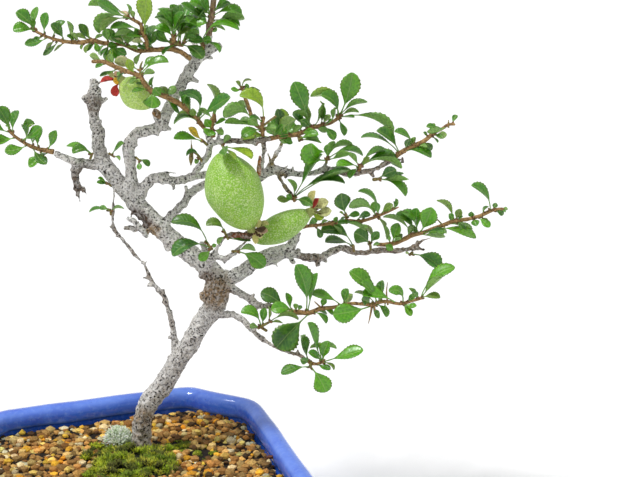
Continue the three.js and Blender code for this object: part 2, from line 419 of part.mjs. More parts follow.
    stems: [[[93.1, 143, -2.5, 0.9], [93.3, 144.4, -1.5, 0.8]]],
    leaves: [
      [93, 143.2, 85.5, 151.3, 11.4, 3.6, 5, 1], [93.2, 143.8, 94, 151, 4, 0, 3, 1],
      [93.3, 144, 96.5, 153, 3.6, 0, -3, -1], [93.4, 144, 106.5, 151.7, 3.6, 3, -3, -1],
      [93.2, 143.3, 112, 147, 4, 3, 4, 1], [93.3, 143.4, 105.5, 147, 3, -0.5, 9, -1],
    ],
  },
  {
    name: "leaf_cluster_right_spur",
    stems: [[[109.6, 139.3, 2.2, 1.1], [110, 141, 3.2, 0.9]]],
    leaves: [
      [109.8, 140.5, 123, 148.5, 3.6, 2.4, 2, 1], [109.5, 140.2, 103.5, 147, 2.6, 0, 3, -1],
      [109.3, 139.6, 97.8, 141.3, 4, -1, 5, 1], [109.3, 139.4, 104.3, 134.3, 3, -1, 6, 1],
      [110.3, 140.5, 114.5, 144.6, 3, 0, 5, 1], [110.2, 140, 127.5, 146.5, 4.4, 1.5, 8, 1],
      [110.2, 139.8, 131.3, 139.6, 3.6, 4, 9, -1],
    ],
  },
  {
    name: "leafy_shoot_right_upper",
    stems: [
      [[127.2, 144.8, 7.8, 1.5], [131, 147.5, 9, 1.5], [137, 150.5, 10, 1.4], [142, 153, 11, 1.3],
        [147, 157, 12, 1.2], [151, 159, 12, 0.9], [154, 161, 12, 0.9], [157, 161, 12, 0.7]],
      [[154, 161, 12, 0.6], [154, 163.2, 12, 0.25]],
    ],
    leaves: [
      [129.5, 146.6, 118.5, 159, 5, -1.5, 2, 1], [129.3, 146.5, 110, 155.4, 3, -3, 3, 1],
      [136.8, 151, 127, 158, 2.4, -1.5, 2, 1], [137, 151.3, 136.3, 154.8, 2.4, 0, 2, -1],
      [132.5, 148.5, 134.3, 153.6, 3, 0.3, 3, 1], [131, 146.8, 146.3, 145.5, 3.8, 2, 5, 1],
      [138, 150.8, 143.3, 149.8, 2.4, 0, 4, -1], [150.5, 158.8, 143, 160.3, 2.6, -0.3, 3, 1],
      [154, 160.5, 143.5, 158, 3, 1.5, 5, -1], [144, 154.8, 141.6, 157.3, 1.4, 0, 2, 1],
      [146.5, 156.5, 151, 154.8, 2, 0, 4, 1], [145.5, 155.6, 149, 152.3, 1.4, 0, 4, 1],
    ],
  },
  {
    name: "leaf_cluster_right_below",
    stems: [[[117.6, 133.6, 5.4, 1], [119, 133.8, 6.5, 0.8]]],
    leaves: [
      [118.8, 134, 128, 138.3, 5.2, 0.5, 5, 1], [119, 134, 131, 137.5, 3.4, -1.5, -1, 1],
      [119, 133.9, 134, 133.4, 2.2, -0.5, 6, -1], [118.8, 133.7, 132.3, 125, 4.4, 2.6, 4, 1],
    ],
  },
  {
    name: "leafy_shoot_behind_small_fruit",
    stems: [
      [[80, 109.4, -11.5, 1.2], [84, 110.2, -12, 1.1], [90, 110.8, -12, 1], [98, 112, -12, 1],
        [104, 113, -11, 1], [110, 112.7, -10, 1], [117, 114.6, -9, 1], [124, 117.5, -8, 0.8],
        [129, 119.7, -8, 0.35]],
      [[103, 113, -11, 0.9], [102.8, 116, -9, 0.8]],
    ],
    leaves: [
      [102.8, 115.8, 100.5, 126.5, 8, 0.5, 3, 1], [118, 115, 104, 120, 4.6, -3.5, 4, -1],
      [103.2, 114.5, 109.3, 116, 3, 0.8, 6, 1], [108, 112.8, 98.5, 111.6, 2.8, 0, 4, 1],
      [98.5, 112, 113, 108.6, 3, 1.2, 5, -1], [119, 115.4, 109.2, 129, 2.6, -3, 2, 1],
      [119, 115.4, 118.3, 121.6, 2.6, 0, 4, 1], [120, 115.8, 126.2, 121, 3.6, 0.5, 3, 1],
      [118.5, 115, 123.7, 103.5, 1.2, 1, 2, -1], [119, 115.2, 122.7, 110.2, 1.8, 0, 5, 1],
      [102.8, 116, 99.5, 117.3, 1.2, 0, 2, 1], [88, 111, 86, 114.4, 3, 0, 4, 1],
      [89.5, 111.2, 93.3, 113.4, 1.8, 0, 4, -1],
    ],
  },
  {
    name: "leaf_cluster_dark",
    stems: [[[115, 99.7, -22, 0.9], [114.8, 101.5, -20.5, 0.8]]],
    leaves: [
      [114.9, 100.5, 107, 106.8, 8, -1, 4, 1], [114.8, 101.3, 119.3, 107.2, 4.2, 0.5, 3, 1],
      [114.8, 101.4, 111.3, 111.3, 1.8, -2.5, 1, 1],
    ],
  },
  {
    name: "leaf_cluster_dark_inner",
    stems: [[[106.5, 99, -19, 0.9], [106.3, 100.6, -18, 0.8]]],
    leaves: [
      [106.4, 100, 90, 108, 5.6, -4, 6, 1], [106.3, 100, 92.3, 103.2, 3, -1.5, 8, 1],
    ],
  },
  {
    name: "leafy_shoot_far_right",
    stems: [
      [[119.6, 101, -22.4, 1.2], [123, 101, -22.5, 1.3], [127, 101.6, -22, 1.3], [131, 103.3, -21, 1.3],
        [136, 105.6, -20, 1.3], [141, 106.8, -19, 1.2], [146, 108.8, -19, 1.2], [151, 110.6, -18, 1.2],
        [157, 112.8, -17, 1.2], [164, 113.7, -16, 1.1], [170, 115.5, -15, 1.1], [175.5, 118, -14, 1.1],
        [181, 119.1, -13, 0.6]],
      [[151, 110.8, -18, 0.6], [148.4, 113.6, -17, 0.25]],
    ],
    leaves: [
      [125.8, 101.8, 128.7, 111.6, 4.6, 0, 3, 1], [125, 101.5, 123.2, 106, 2, 0, 4, -1],
      [126, 102, 130.3, 103.9, 1.6, 0.5, 5, -1], [121.5, 100.8, 126, 98.3, 3.4, 0.3, 6, 1],
      [121, 101, 116.3, 101.3, 1.8, 0, 5, -1], [137, 106, 127.3, 115.3, 4.6, -2.5, 4, 1],
      [136.5, 105.8, 121.2, 114.6, 3.2, -2.5, 0, -1], [137.7, 106.2, 131, 118.5, 4, -3, 2, 1],
      [138.5, 106.5, 138.3, 119.3, 5, 0.5, 1, 1], [139.5, 106.7, 145.5, 119.5, 8.5, -0.5, 4, 1],
      [140.5, 106.5, 152, 107.3, 3.2, 0.5, 7, 1], [146, 108.6, 168, 104.4, 4.6, 2, 7, 1],
      [152, 110.6, 166, 108.2, 2.6, 1.5, -3, -1], [139.5, 106.3, 152, 105.2, 2.4, -0.5, 10, -1],
      [157.3, 113.2, 160, 118.8, 3.6, 0, 2, 1], [156.8, 113.2, 154.4, 116.2, 3, 0, 4, 1],
      [157, 113.6, 148.5, 124, 2.6, -1.5, 1, -1], [158, 113.2, 161.2, 115.2, 1.2, 0, 3, 1],
      [166, 114.2, 165.5, 117.2, 3, 0.3, 3, 1], [166.3, 114, 168, 110.2, 4, 0, 5, 1],
      [168.5, 115, 174.8, 109.8, 3.6, 0, 5, 1], [174.8, 118, 165.5, 131, 3.4, -3, 3, 1],
      [176.5, 118.4, 177.7, 121.9, 2.6, 0, 2, 1], [180, 119.1, 183.7, 118.7, 1.6, 0, 1, -1],
      [180, 118.9, 182.6, 117.2, 1.2, 0, 3, 1],
    ],
  },
  {
    name: "leaf_cluster_hanging",
    stems: [[[135.3, 96.4, -26.2, 0.8], [134.6, 95.6, -25, 0.6]]],
    leaves: [[135.4, 96.2, 149.8, 89.3, 6.6, 1.6, 5, 1], [134.8, 95.8, 132.6, 97.4, 1.4, 0, 4, -1]],
  },
  {
    name: "leafy_shoot_lower_right",
    stems: [
      [[71.5, 68, 21, 1.6], [75, 67.4, 22, 1.5], [80, 67, 23, 1.5], [85, 67, 23, 1.4], [90, 69, 22, 1.2],
        [97, 69.7, 21, 1.1], [105, 71.4, 20, 1], [110, 71.3, 19, 1], [116, 71, 18, 1.1],
        [122, 72.6, 17, 1], [130, 71.4, 15, 1], [136, 73, 14, 1], [141, 74.3, 13, 0.9]],
      [[115.8, 70.6, 18, 0.8], [115, 66, 19, 0.55], [114, 61.5, 20, 0.2]],
      [[116.8, 70.5, 18, 0.7], [117.2, 68.3, 18.5, 0.5]],
      [[90.5, 69.2, 22, 0.6], [87, 72.5, 22.5, 0.25]],
      [[123.5, 72.4, 17, 0.6], [123, 77, 17, 0.45], [123.5, 82, 17, 0.2]],
    ],
    leaves: [
      [77.5, 67.6, 65.3, 68.3, 5.6, -1.6, 5, 1], [76, 67.8, 73, 77, 3.6, 0.5, -3, 1],
      [73, 68, 60, 77.3, 7.4, -1.5, -3, 1], [78, 67.5, 78, 71.9, 2.6, 0.3, 4, -1],
      [82.8, 67.3, 78.5, 91, 8.6, -2, 4, 1], [83.4, 67.4, 88, 87, 4.6, 0, -3, 1],
      [100.5, 70.6, 85.5, 77.4, 5.2, -1.2, 3, 1], [101.5, 70.8, 104, 78.9, 3.6, 0.5, 2, 1],
      [86, 67.2, 93, 61.5, 2.6, 1.5, 4, 1], [90.5, 69.2, 92.2, 74, 3, 0, 3, 1],
      [85, 66.6, 67.8, 49.3, 13.5, -0.5, 10, 1], [115.5, 70.4, 96.2, 66, 9.2, 0.6, 8, 1],
      [115, 71, 110.5, 73.4, 5, -0.8, 6, 1], [120.5, 72.3, 105, 88.3, 6.6, -1, 2, 1],
      [118.5, 71.8, 110.3, 82, 4.6, -1, 6, 1], [120.3, 72.3, 120.8, 83.2, 3.6, 0, -4, 1],
      [128, 71.8, 111, 76.3, 4.6, -1.5, 8, 1], [117.3, 71.2, 107, 77.3, 1.6, -1.5, -3, -1],
      [117.3, 71, 123, 64.6, 3.2, 1.6, 5, 1], [131.2, 71.8, 124, 77.8, 4.6, -3.4, 4, 1],
      [131, 71.4, 138.2, 70.3, 3, -0.8, 4, 1], [131, 71.4, 135.6, 65.4, 3, 0, 5, 1],
      [133, 72.2, 137, 76, 2.6, 0, 4, 1], [139.5, 74, 136, 77.6, 3, 0, 3, 1],
      [139, 73.9, 134.3, 79.3, 1.2, 0, 0, -1], [141, 74.3, 149.8, 74.2, 3.6, 1.2, 4, 1],
      [141, 74.6, 157.3, 90, 6, 3.4, 1, 1], [141.2, 74.8, 150.6, 85.6, 4.6, 0.4, 6, -1],
    ],
  },
  {
    name: "leaf_cluster_low_spur",
    stems: [[[60, 59.8, 20.2, 0.9], [62.5, 61.2, 22, 0.8], [65, 62.5, 23, 0.6]],
      [[60.3, 59.6, 20.6, 0.8], [63, 57.9, 21, 0.9]]],
    leaves: [
      [60, 60.4, 50, 68, 4.2, -3, 3, 1], [61, 60.6, 62, 69, 3.6, 0.3, 3, 1],
      [60, 59.8, 54.5, 61, 3, 0.3, 6, -1], [65, 62.4, 79.5, 64.3, 1.8, 2.4, 3, -1],
      [65, 62.2, 71, 61.8, 1.4, 0.3, 6, -1], [64.5, 62.3, 64.2, 70, 1.4, 0, 2, -1],
    ],
  },
  {
    name: "leafy_shoot_lowest",
    stems: [
      [[83.6, 43, 36, 1.1], [85, 41.8, 36.5, 1.2], [88, 41.3, 37, 0.9], [91.5, 42.4, 38, 1]],
      [[85, 41.6, 37, 1], [85, 39.5, 38, 0.9]],
    ],
    leaves: [
      [84.8, 42.2, 81.3, 55.8, 4.6, 1, 3, 1], [91.3, 43, 83.3, 62, 4.6, 0, 3, 1],
      [91.8, 43, 93.5, 52.5, 5, 0.3, 4, 1], [91.6, 43, 98.2, 49.2, 3, 5, -3, -1],
      [91.3, 43, 84.6, 50.3, 2, -4.4, -4, -1], [91, 42.8, 83.8, 47, 3.6, -0.8, 3, 1],
      [84.6, 42, 80.2, 43.5, 3.6, 0, 6, 1], [84.8, 39.8, 70, 36.8, 5, -0.8, 4, 1],
      [85.2, 39.6, 92.8, 27, 8.8, 0.8, 5, 1], [92, 42.3, 111.5, 48.3, 6.4, 0, 4, 1],
      [87.5, 41.2, 95, 38.4, 2.8, 0, 5, 1], [92, 42, 97.2, 38.6, 1.4, 1, 5, 1],
    ],
  },
  {
    name: "leafy_shoot_left",
    stems: [[[-45, 147.6, -14.6, 1.5], [-52, 149, -16, 1.3], [-60, 153, -17, 1], [-66, 158, -17, 0.7]]],
    leaves: [
      [-47, 147.8, -43, 158, 4.6, -1, 3, 1], [-49, 148.2, -56, 140, 4.6, 1, 4, 1],
      [-51, 148.8, -50, 160, 5, 1, -4, 1], [-54, 150, -47, 141, 4.6, -1, 7, 1],
      [-56, 151, -68, 148, 4.6, 1, 5, 1], [-58, 152, -57, 164, 5, -1, 3, 1],
      [-60, 153, -51, 160, 4.6, -1, 9, 1], [-62, 154.5, -74, 153, 4.6, 0.5, 3, 1],
      [-64, 156, -61, 168, 5, 1, -4, 1], [-66, 158, -77, 163, 5, 1, 2, 1],
      [-66, 158, -71, 170, 5, -0.5, 4, 1],
    ],
  },
  {
    name: "leaf_cluster_left",
    stems: [[[-24.6, 145.2, -9.5, 0.8], [-24, 146.6, -8.5, 0.7]]],
    leaves: [
      [-24.2, 146, -34, 146.6, 4, -2.4, 3, 1], [-24.3, 146.2, -37, 150.5, 3.6, -1, -3, 1],
    ],
  },
  {
    name: "leaf_cluster_limb_low",
    stems: [[[-15.6, 131, -7.6, 0.7], [-16.6, 131.8, -7, 0.6]]],
    leaves: [[-15.8, 131.2, -21.9, 132, 2.4, -0.3, 3, 1], [-16, 131.6, -21.2, 134.4, 1.4, 0, 3, 1]],
  },
  {
    name: "leaf_cluster_limb_fork",
    stems: [[[-14.6, 145.8, -9, 0.7], [-13.4, 145, -8.5, 0.6]]],
    leaves: [[-14.4, 145.8, -8.8, 152, 2.6, 0.5, 8, 1], [-13.6, 145, -9.6, 143.4, 2, 0.4, 8, -1]],
  },
  {
    name: "leaf_cluster_inner",
    stems: [[[-1.5, 143.8, -2.6, 0.7], [-0.6, 143, -2, 0.6]]],
    leaves: [[-1.2, 143.6, 4.6, 140.2, 2.8, 0.8, 2, 1], [-0.8, 143, -0.5, 138.4, 2.6, 0, 4, 1]],
  },
  {
    name: "leaf_cluster_sucker",
    stems: [[[-15, 117.3, -4, 0.7], [-15.2, 118.6, -3.5, 0.6]]],
    leaves: [
      [-15.2, 118, -25.7, 117.2, 2.8, -1.4, 3, 1], [-15.2, 118.3, -20.5, 119.8, 2.6, 0, -2, 1],
      [-15, 117.6, -8, 119.6, 1.6, 1, 6, -1],
    ],
  },
  {
    name: "leaf_cluster_back_top",
    stems: [[[22.4, 207.8, -32.6, 1], [20, 211, -37, 0.8]]],
    leaves: [
      [22, 208.3, 30, 216, 5, 1, -4, 1], [21, 209.5, 12, 216, 5, -1, -5, 1], [20, 211, 24, 221, 5, 0, -6, 1],
      [20, 211, 15, 221, 5, 0, 2, 1], [21, 209.5, 11, 208, 4.6, 0, -8, 1], [21, 209.8, 30, 207, 4.6, 0, -9, 1],
      [20, 211, 20, 217, 4.6, 0, -12, 1],
    ],
  },
  {
    name: "leaf_cluster_back_right",
    stems: [[[70.4, 151, -34, 1], [71.5, 154.5, -38, 0.8]]],
    leaves: [
      [70.8, 152.5, 63, 159, 4.6, -1, -4, 1], [71.3, 154, 78, 161, 4.8, 1, -3, 1],
      [71.5, 154.5, 70, 166, 5, 0, -5, 1], [71.5, 154.5, 66, 164, 4.6, 0, 4, 1],
      [71, 153.5, 80, 157, 4.4, 0.5, -9, 1], [71.5, 154.5, 74, 164, 4.6, 0, -12, 1],
    ],
  },
];

// The fruits: stalk end and blossom end as [u, v, d], the greatest radius, where along the fruit it is,
// how blunt each end is, and the dry or green sepals at the blossom end as leaf rows.
const FRUITS = [
  {
    name: "fruit_large",
    from: [39, 146.6, 15],
    to: [55.6, 108.2, 18],
    radius: 13.6,
    fullest: 0.45,
    blunt: [0.62, 0.62],
    sepals: [
      [55.5, 109, 60.5, 112.6, 3.4, 0, 1, 1], [55.5, 108.6, 60, 109, 3, 0, 3, 1],
      [55.4, 108.6, 58.6, 105.4, 3, 0, 2, 1],
    ],
  },
  {
    name: "fruit_small",
    from: [56.8, 104, 4],
    to: [86.6, 118.8, 4],
    radius: 7.6,
    fullest: 0.45,
    blunt: [0.55, 0.85],
    sepals: [
      [86, 118.5, 86.8, 128.3, 2.6, 1, 2, 1], [86, 118.3, 94, 121.4, 3.6, 1, 3, 1],
      [86, 118, 95.2, 117.8, 3, -0.6, 4, 1], [86, 118, 91, 124.4, 2.4, 0, -3, -1],
    ],
  },
  {
    name: "fruit_left",
    from: [5.8, 169.8, 5],
    to: [-9.8, 183.4, 5],
    radius: 7.2,
    fullest: 0.5,
    blunt: [0.6, 0.6],
    sepals: [
      [-9.5, 183, -20.4, 182.4, 2.8, -0.6, 1, 1], [-9.6, 182.6, -19, 184, 1.8, 0, -2, 1],
      [-9.8, 182.2, -11.8, 175, 3, -1.8, 2, 1],
    ],
  },
];

// Moss cushions and the lichen tuft on the soil: centre x, y, half sizes and height.
const CUSHIONS = [
  { name: "moss_mound", x: -8, y: -25, halfX: 21, halfY: 23, height: 5 },
  { name: "moss_patch_right", x: 18, y: -6, halfX: 6, halfY: 7, height: 2.4 },
  { name: "moss_patch_far_right", x: 29, y: -20, halfX: 5, halfY: 6, height: 2 },
  { name: "lichen_tuft", x: -13, y: 8, halfX: 8, halfY: 7.5, height: 7 },
];

const COLOURS = {
  bark: ["#a8a29b", 0.9],
  leaf: ["#4f9b22", 0.45],
  fruit: ["#a3c96a", 0.6],
  glaze: ["#4a6fc4", 0.2],
  soil: ["#7a5236", 0.95],
  moss: ["#7d9a2c", 0.95],
  lichen: ["#b9c9a8", 0.95],
  plastic: ["#26282a", 0.6],
  wire: ["#a9835c", 0.45],
};

const radians = THREE.MathUtils.degToRad;

// The observer's directions and place, with the trunk's foot at the origin.
const look = new THREE.Vector3(
  Math.cos(radians(SIGHT.pitch)) * Math.sin(radians(SIGHT.turn)),
  Math.cos(radians(SIGHT.pitch)) * Math.cos(radians(SIGHT.turn)),
  -Math.sin(radians(SIGHT.pitch)),
);
const across = new THREE.Vector3(Math.cos(radians(SIGHT.turn)), -Math.sin(radians(SIGHT.turn)), 0);
const upward = new THREE.Vector3().crossVectors(across, look);
const observer = new THREE.Vector3()
  .addScaledVector(look, -SIGHT.distance)
  .addScaledVector(across, SIGHT.aimU)
  .addScaledVector(upward, SIGHT.aimV);

// How far off a point of the sight frame is, as a share of the aim's distance.
function farness([, v, d]) {
  return 1 - (d + SIGHT.lean * v) / SIGHT.distance;
}

// The place in space of a point of the sight frame.
function spot(point) {
  const scale = farness(point);
  return observer
    .clone()
    .addScaledVector(look, SIGHT.distance * scale)
    .addScaledVector(across, (point[0] - SIGHT.aimU) * scale)
    .addScaledVector(upward, (point[1] - SIGHT.aimV) * scale);
}

// A closed mesh as a solid that can be joined and cut.
function solid(geometry) {
  const bare = geometry.clone();
  bare.deleteAttribute("normal");
  bare.deleteAttribute("uv");
  const merged = mergeVertices(bare, 1e-4);
  const mesh = new wasm.Mesh({
    numProp: 3,
    vertProperties: new Float32Array(merged.attributes.position.array),
    triVerts: new Uint32Array(merged.index.array),
  });
  return new wasm.Manifold(mesh);
}

// A solid back as geometry, its largest body only.
function geometryOf(body) {
  const bodies = body.decompose().sort((a, b) => b.volume() - a.volume());
  const mesh = bodies[0].getMesh();
  const geometry = new THREE.BufferGeometry();
  geometry.setAttribute("position", new THREE.BufferAttribute(mesh.vertProperties, 3));
  geometry.setIndex(new THREE.BufferAttribute(mesh.triVerts, 1));
  geometry.computeVertexNormals();
  return geometry;
}

function joined(solids) {
  return wasm.Manifold.union(solids);
}

// A cylinder bent along rings: each ring has a place, two directions and two half sizes.
function bent(rings, sides) {
  const steps = rings.length - 1;
  const geometry = new THREE.CylinderGeometry(1, 1, 1, sides, steps);
  const points = geometry.attributes.position;
  for (let i = 0; i < points.count; i += 1) {
    const ring = rings[Math.round((points.getY(i) + 0.5) * steps)];
    const place = ring.place
      .clone()
      .addScaledVector(ring.side, points.getX(i) * ring.halfWidth)
      .addScaledVector(ring.face, points.getZ(i) * ring.halfThickness);
    points.setXYZ(i, place.x, place.y, place.z);
  }
  return solid(geometry);
}

// A blade with a flat upper side and a keel below, pointed at both ends, bent along rings.
function blade(rings) {
  const steps = rings.length - 1;
  const geometry = new THREE.SphereGeometry(1, 3, steps);
  const points = geometry.attributes.position;
  for (let i = 0; i < points.count; i += 1) {
    const polar = Math.acos(THREE.MathUtils.clamp(points.getY(i), -1, 1));
    const latitude = Math.round((polar * steps) / Math.PI);
    const { place, side, face, halfWidth, halfThickness } = rings[steps - latitude];
    const round = Math.hypot(points.getX(i), points.getZ(i));
    const corner = place.clone();
    if (latitude > 0 && latitude < steps) {
      corner.addScaledVector(side, (-points.getZ(i) / round / Math.sin(Math.PI / 3)) * halfWidth);
      corner.addScaledVector(face, (points.getX(i) / round) * halfThickness);
    }
    points.setXYZ(i, corner.x, corner.y, corner.z);
  }
  return solid(geometry);
}

// One limb: a round tube through its points, with its own radius at each.
function limb(points, extra = 0) {
  const places = points.map(spot);
  const thickest = Math.max(...points.map((point) => point[3]));
  const sides = thickest > 4 ? 8 : thickest > 2.4 ? 5 : 4;
  const rings = places.map((place, i) => {
    const before = places[Math.max(i - 1, 0)];
    const after = places[Math.min(i + 1, places.length - 1)];
    const along = after.clone().sub(before).normalize();
    const aside = Math.abs(along.dot(look)) > 0.95 ? across : look;
    const face = aside.clone().addScaledVector(along, -aside.dot(along)).normalize();
    const side = new THREE.Vector3().crossVectors(along, face);
    const radius = points[i][3] * farness(points[i]) + extra;
    return { place, side, face, halfWidth: radius, halfThickness: radius };
  });
  return bent(rings, sides);
}

// How far along a stem's last stretch a leaf may stand.
const STEM_END = 0.8;

// The point on a cluster's stems that is nearest to a leaf's foot as it is seen.
function onStem(stems, u, v) {
  let nearest = null;
  for (const stem of stems) {
    for (let i = 0; i + 1 < stem.length; i += 1) {
      const [a, b] = [stem[i], stem[i + 1]];
      const length2 = (b[0] - a[0]) ** 2 + (b[1] - a[1]) ** 2;
      const along = ((u - a[0]) * (b[0] - a[0]) + (v - a[1]) * (b[1] - a[1])) / length2;
      const last = i + 2 === stem.length;
      const t = THREE.MathUtils.clamp(along, 0, last ? STEM_END : 1);
      const point = a.map((value, k) => value + (b[k] - value) * t);
      const distance = Math.hypot(point[0] - u, point[1] - v);
      if (!nearest || distance < nearest.distance) {
        nearest = { distance, point };
      }
    }
  }
  return nearest.point;
}

// A leaf's outline: a stalk, a wedge and a broad rounded end, as [place along it, share of half width].
const LEAF_OUTLINE = [[0, 0], [0.14, 0.12], [0.56, 0.9], [0.84, 0.86], [1, 0]];
const LEAF = { naturalWidth: 0.5, stalk: 0.5, halfThickness: 0.5, bow: 0.1 };

// One leaf from its foot on a stem to its tip: seen narrower than it grows, it is turned edge on.
function leaf(foot, row, extra = 0) {
  const [, , tipU, tipV, width, bow, nearer, side] = row;
  const [footU, footV, footD] = foot;
  const run = Math.hypot(tipU - footU, tipV - footV);
  const belly = LEAF.bow * run * side;
  const middle = [
    (footU + tipU) / 2 - (2 * bow * (tipV - footV)) / run,
    (footV + tipV) / 2 + (2 * bow * (tipU - footU)) / run,
    footD + nearer / 2 + belly,
  ];
  const curve = new THREE.QuadraticBezierCurve3(
    spot(foot),
    spot(middle),
    spot([tipU, tipV, footD + nearer]),
  );
  const grown = Math.max(width, LEAF.naturalWidth * run) * farness(foot);
  const turn = Math.acos(Math.min(1, (width * farness(foot)) / grown));
  const rings = LEAF_OUTLINE.map(([t, share]) => {
    const along = curve.getTangent(t);
    const toViewer = look.clone().multiplyScalar(-1);
    toViewer.addScaledVector(along, -toViewer.dot(along)).normalize();
    const skyward = new THREE.Vector3().crossVectors(toViewer, along).normalize();
    skyward.multiplyScalar(Math.sign(skyward.dot(upward)) || 1);
    const face = toViewer.multiplyScalar(side * Math.cos(turn)).addScaledVector(skyward, Math.sin(turn));
    const halfWidth = Math.max(LEAF.stalk, (share * grown) / 2) + extra;
    const beyond = (t === 0 ? -1 : Math.floor(t)) * extra;
    return {
      place: curve.getPoint(t).addScaledVector(along, beyond),
      side: new THREE.Vector3().crossVectors(along, face),
      face,
      halfWidth,
      halfThickness: LEAF.halfThickness + 2 * extra,
    };
  });
  return blade(rings);
}

function cluster({ stems, leaves }, extra = 0) {
  const limbs = stems.map((stem) => limb(stem, extra));
  const blades = leaves.map((row) => leaf(onStem(stems, row[0], row[1]), row, extra));
  return joined([...limbs, ...blades]);
}

// A fruit turned on its axis, laid from its stalk end to its blossom end, with its sepals.
function fruit({ from, to, radius, fullest, blunt, sepals }, extra = 0) {
  const [start, end] = [spot(from), spot(to)];
  const length = start.distanceTo(end);
  const stations = 9;
  const profile = [];
  for (let i = 0; i <= stations; i += 1) {
    const share = (1 - Math.cos((Math.PI * i) / stations)) / 2;
    const [reach, power] = share < fullest
      ? [share / fullest, blunt[0]]
      : [(1 - share) / (1 - fullest), blunt[1]];
    const swell = i === 0 || i === stations ? 0 : Math.sin((Math.PI / 2) * reach) ** power;
    profile.push(new THREE.Vector2(swell * (radius + extra), share * (length + 2 * extra) - extra));
  }
  const geometry = new THREE.LatheGeometry(profile, 12);
  const axis = end.clone().sub(start).normalize();
  geometry.applyQuaternion(new THREE.Quaternion().setFromUnitVectors(new THREE.Vector3(0, 1, 0), axis));
  geometry.translate(start.x, start.y, start.z);
  const lobes = sepals.map((row) => leaf([row[0], row[1], to[2]], row, extra));
  return joined([solid(geometry), ...lobes]);
}

// The pot's plan: a rectangle whose corners are cut by shallow hollow curves.
function potPlan(inset) {
  const [left, right] = [POT.left + inset, POT.right - inset];
  const [front, back] = [POT.front + inset, POT.back - inset];
  const cut = POT.cornerCut - inset * 0.6;
  const dip = POT.cornerDip;
  const plan = new THREE.Shape();
  plan.moveTo(left + cut, front);
  plan.lineTo(right - cut, front);
  plan.quadraticCurveTo(right - cut / 2 - dip, front + cut / 2 + dip, right, front + cut);
  plan.lineTo(right, back - cut);
  plan.quadraticCurveTo(right - cut / 2 - dip, back - cut / 2 - dip, right - cut, back);
  plan.lineTo(left + cut, back);
  plan.quadraticCurveTo(left + cut / 2 + dip, back - cut / 2 - dip, left, back - cut);
  plan.lineTo(left, front + cut);
  plan.quadraticCurveTo(left + cut / 2 + dip, front + cut / 2 + dip, left + cut, front);
  return plan;
}

const potMiddle = new THREE.Vector2((POT.left + POT.right) / 2, (POT.front + POT.back) / 2);
const potFloor = POT.foot + POT.footHeight;

// A slab of the pot's plan from one height to another, drawn in towards its lower side.
function potSlab(inset, low, high, narrowing = 0, round = 0) {
  const geometry = new THREE.ExtrudeGeometry(potPlan(inset + round), {
    depth: high - low - 2 * round,
    bevelEnabled: round > 0,
    bevelThickness: round,
    bevelSize: round,
    bevelSegments: 2,
    curveSegments: 4,
    steps: 1,
  });
  geometry.translate(0, 0, low + round);
  const points = geometry.attributes.position;
  for (let i = 0; i < points.count; i += 1) {
    const share = (high - points.getZ(i)) / (high - low);
    const halfSpan = (POT.right - POT.left) / 2 - inset;
    const scale = 1 - (narrowing * share) / halfSpan;
    points.setX(i, potMiddle.x + (points.getX(i) - potMiddle.x) * scale);
    points.setY(i, potMiddle.y + (points.getY(i) - potMiddle.y) * scale);
  }
  return solid(geometry);
}

function drainCylinder(x, low, high, radius) {
  const geometry = new THREE.CylinderGeometry(radius, radius, high - low, 24);
  geometry.rotateX(Math.PI / 2);
  geometry.translate(x, potMiddle.y, (low + high) / 2);
  return solid(geometry);
}

function box(x, y, z, width, depth, height) {
  const geometry = new THREE.BoxGeometry(width, depth, height);
  geometry.translate(x, y, z);
  return solid(geometry);
}

const drainPlaces = [potMiddle.x - DRAIN.x, potMiddle.x + DRAIN.x];
const lipFloor = POT.rimTop - POT.rimDepth;

function pot() {
  const outer = potSlab(POT.wallInset, potFloor, lipFloor + 1, POT.taper);
  const lip = potSlab(0, lipFloor, POT.rimTop, 0, POT.rimRound);
  const floorTop = potFloor + POT.floorThickness;
  const well = potSlab(POT.rimWidth, floorTop, POT.rimTop + 1, POT.taper - POT.wallInset);
  const footRing = potSlab(POT.taper + POT.footInset, POT.foot, potFloor + 1);
  const footHollow = potSlab(POT.taper + POT.footInset + POT.footWidth, POT.foot - 1, potFloor);
  const wide = (POT.right - POT.left) * 2;
  const legGap = (POT.right - POT.left) * POT.legGapShare;
  const gapZ = POT.foot + POT.footHeight / 2 - 0.5;
  const gaps = [
    box(potMiddle.x, potMiddle.y, gapZ, wide, legGap, POT.footHeight + 1),
    box(potMiddle.x, potMiddle.y, gapZ, legGap, wide, POT.footHeight + 1),
  ];
  const feet = footRing.subtract(joined([footHollow, ...gaps]));
  const holes = drainPlaces.map((x) => drainCylinder(x, POT.foot - 1, 0, DRAIN.radius));
  return joined([outer, lip, feet]).subtract(joined([well, ...holes]));
}

// A square of drainage mesh over a hole, and the bent wire that holds it there.
const meshZ = potFloor + POT.floorThickness + GAP + DRAIN.meshThickness / 2;

function drainMesh(x) {
  const cell = (DRAIN.mesh - DRAIN.bar) / DRAIN.cells;
  const windows = [];
  for (let i = 0; i < DRAIN.cells; i += 1) {
    for (let j = 0; j < DRAIN.cells; j += 1) {
      const wx = x - DRAIN.mesh / 2 + DRAIN.bar + cell * i + (cell - DRAIN.bar) / 2;
      const wy = potMiddle.y - DRAIN.mesh / 2 + DRAIN.bar + cell * j + (cell - DRAIN.bar) / 2;
      windows.push(box(wx, wy, meshZ, cell - DRAIN.bar, cell - DRAIN.bar, DRAIN.meshThickness + 1));
    }
  }
  return box(x, potMiddle.y, meshZ, DRAIN.mesh, DRAIN.mesh, DRAIN.meshThickness).subtract(joined(windows));
}

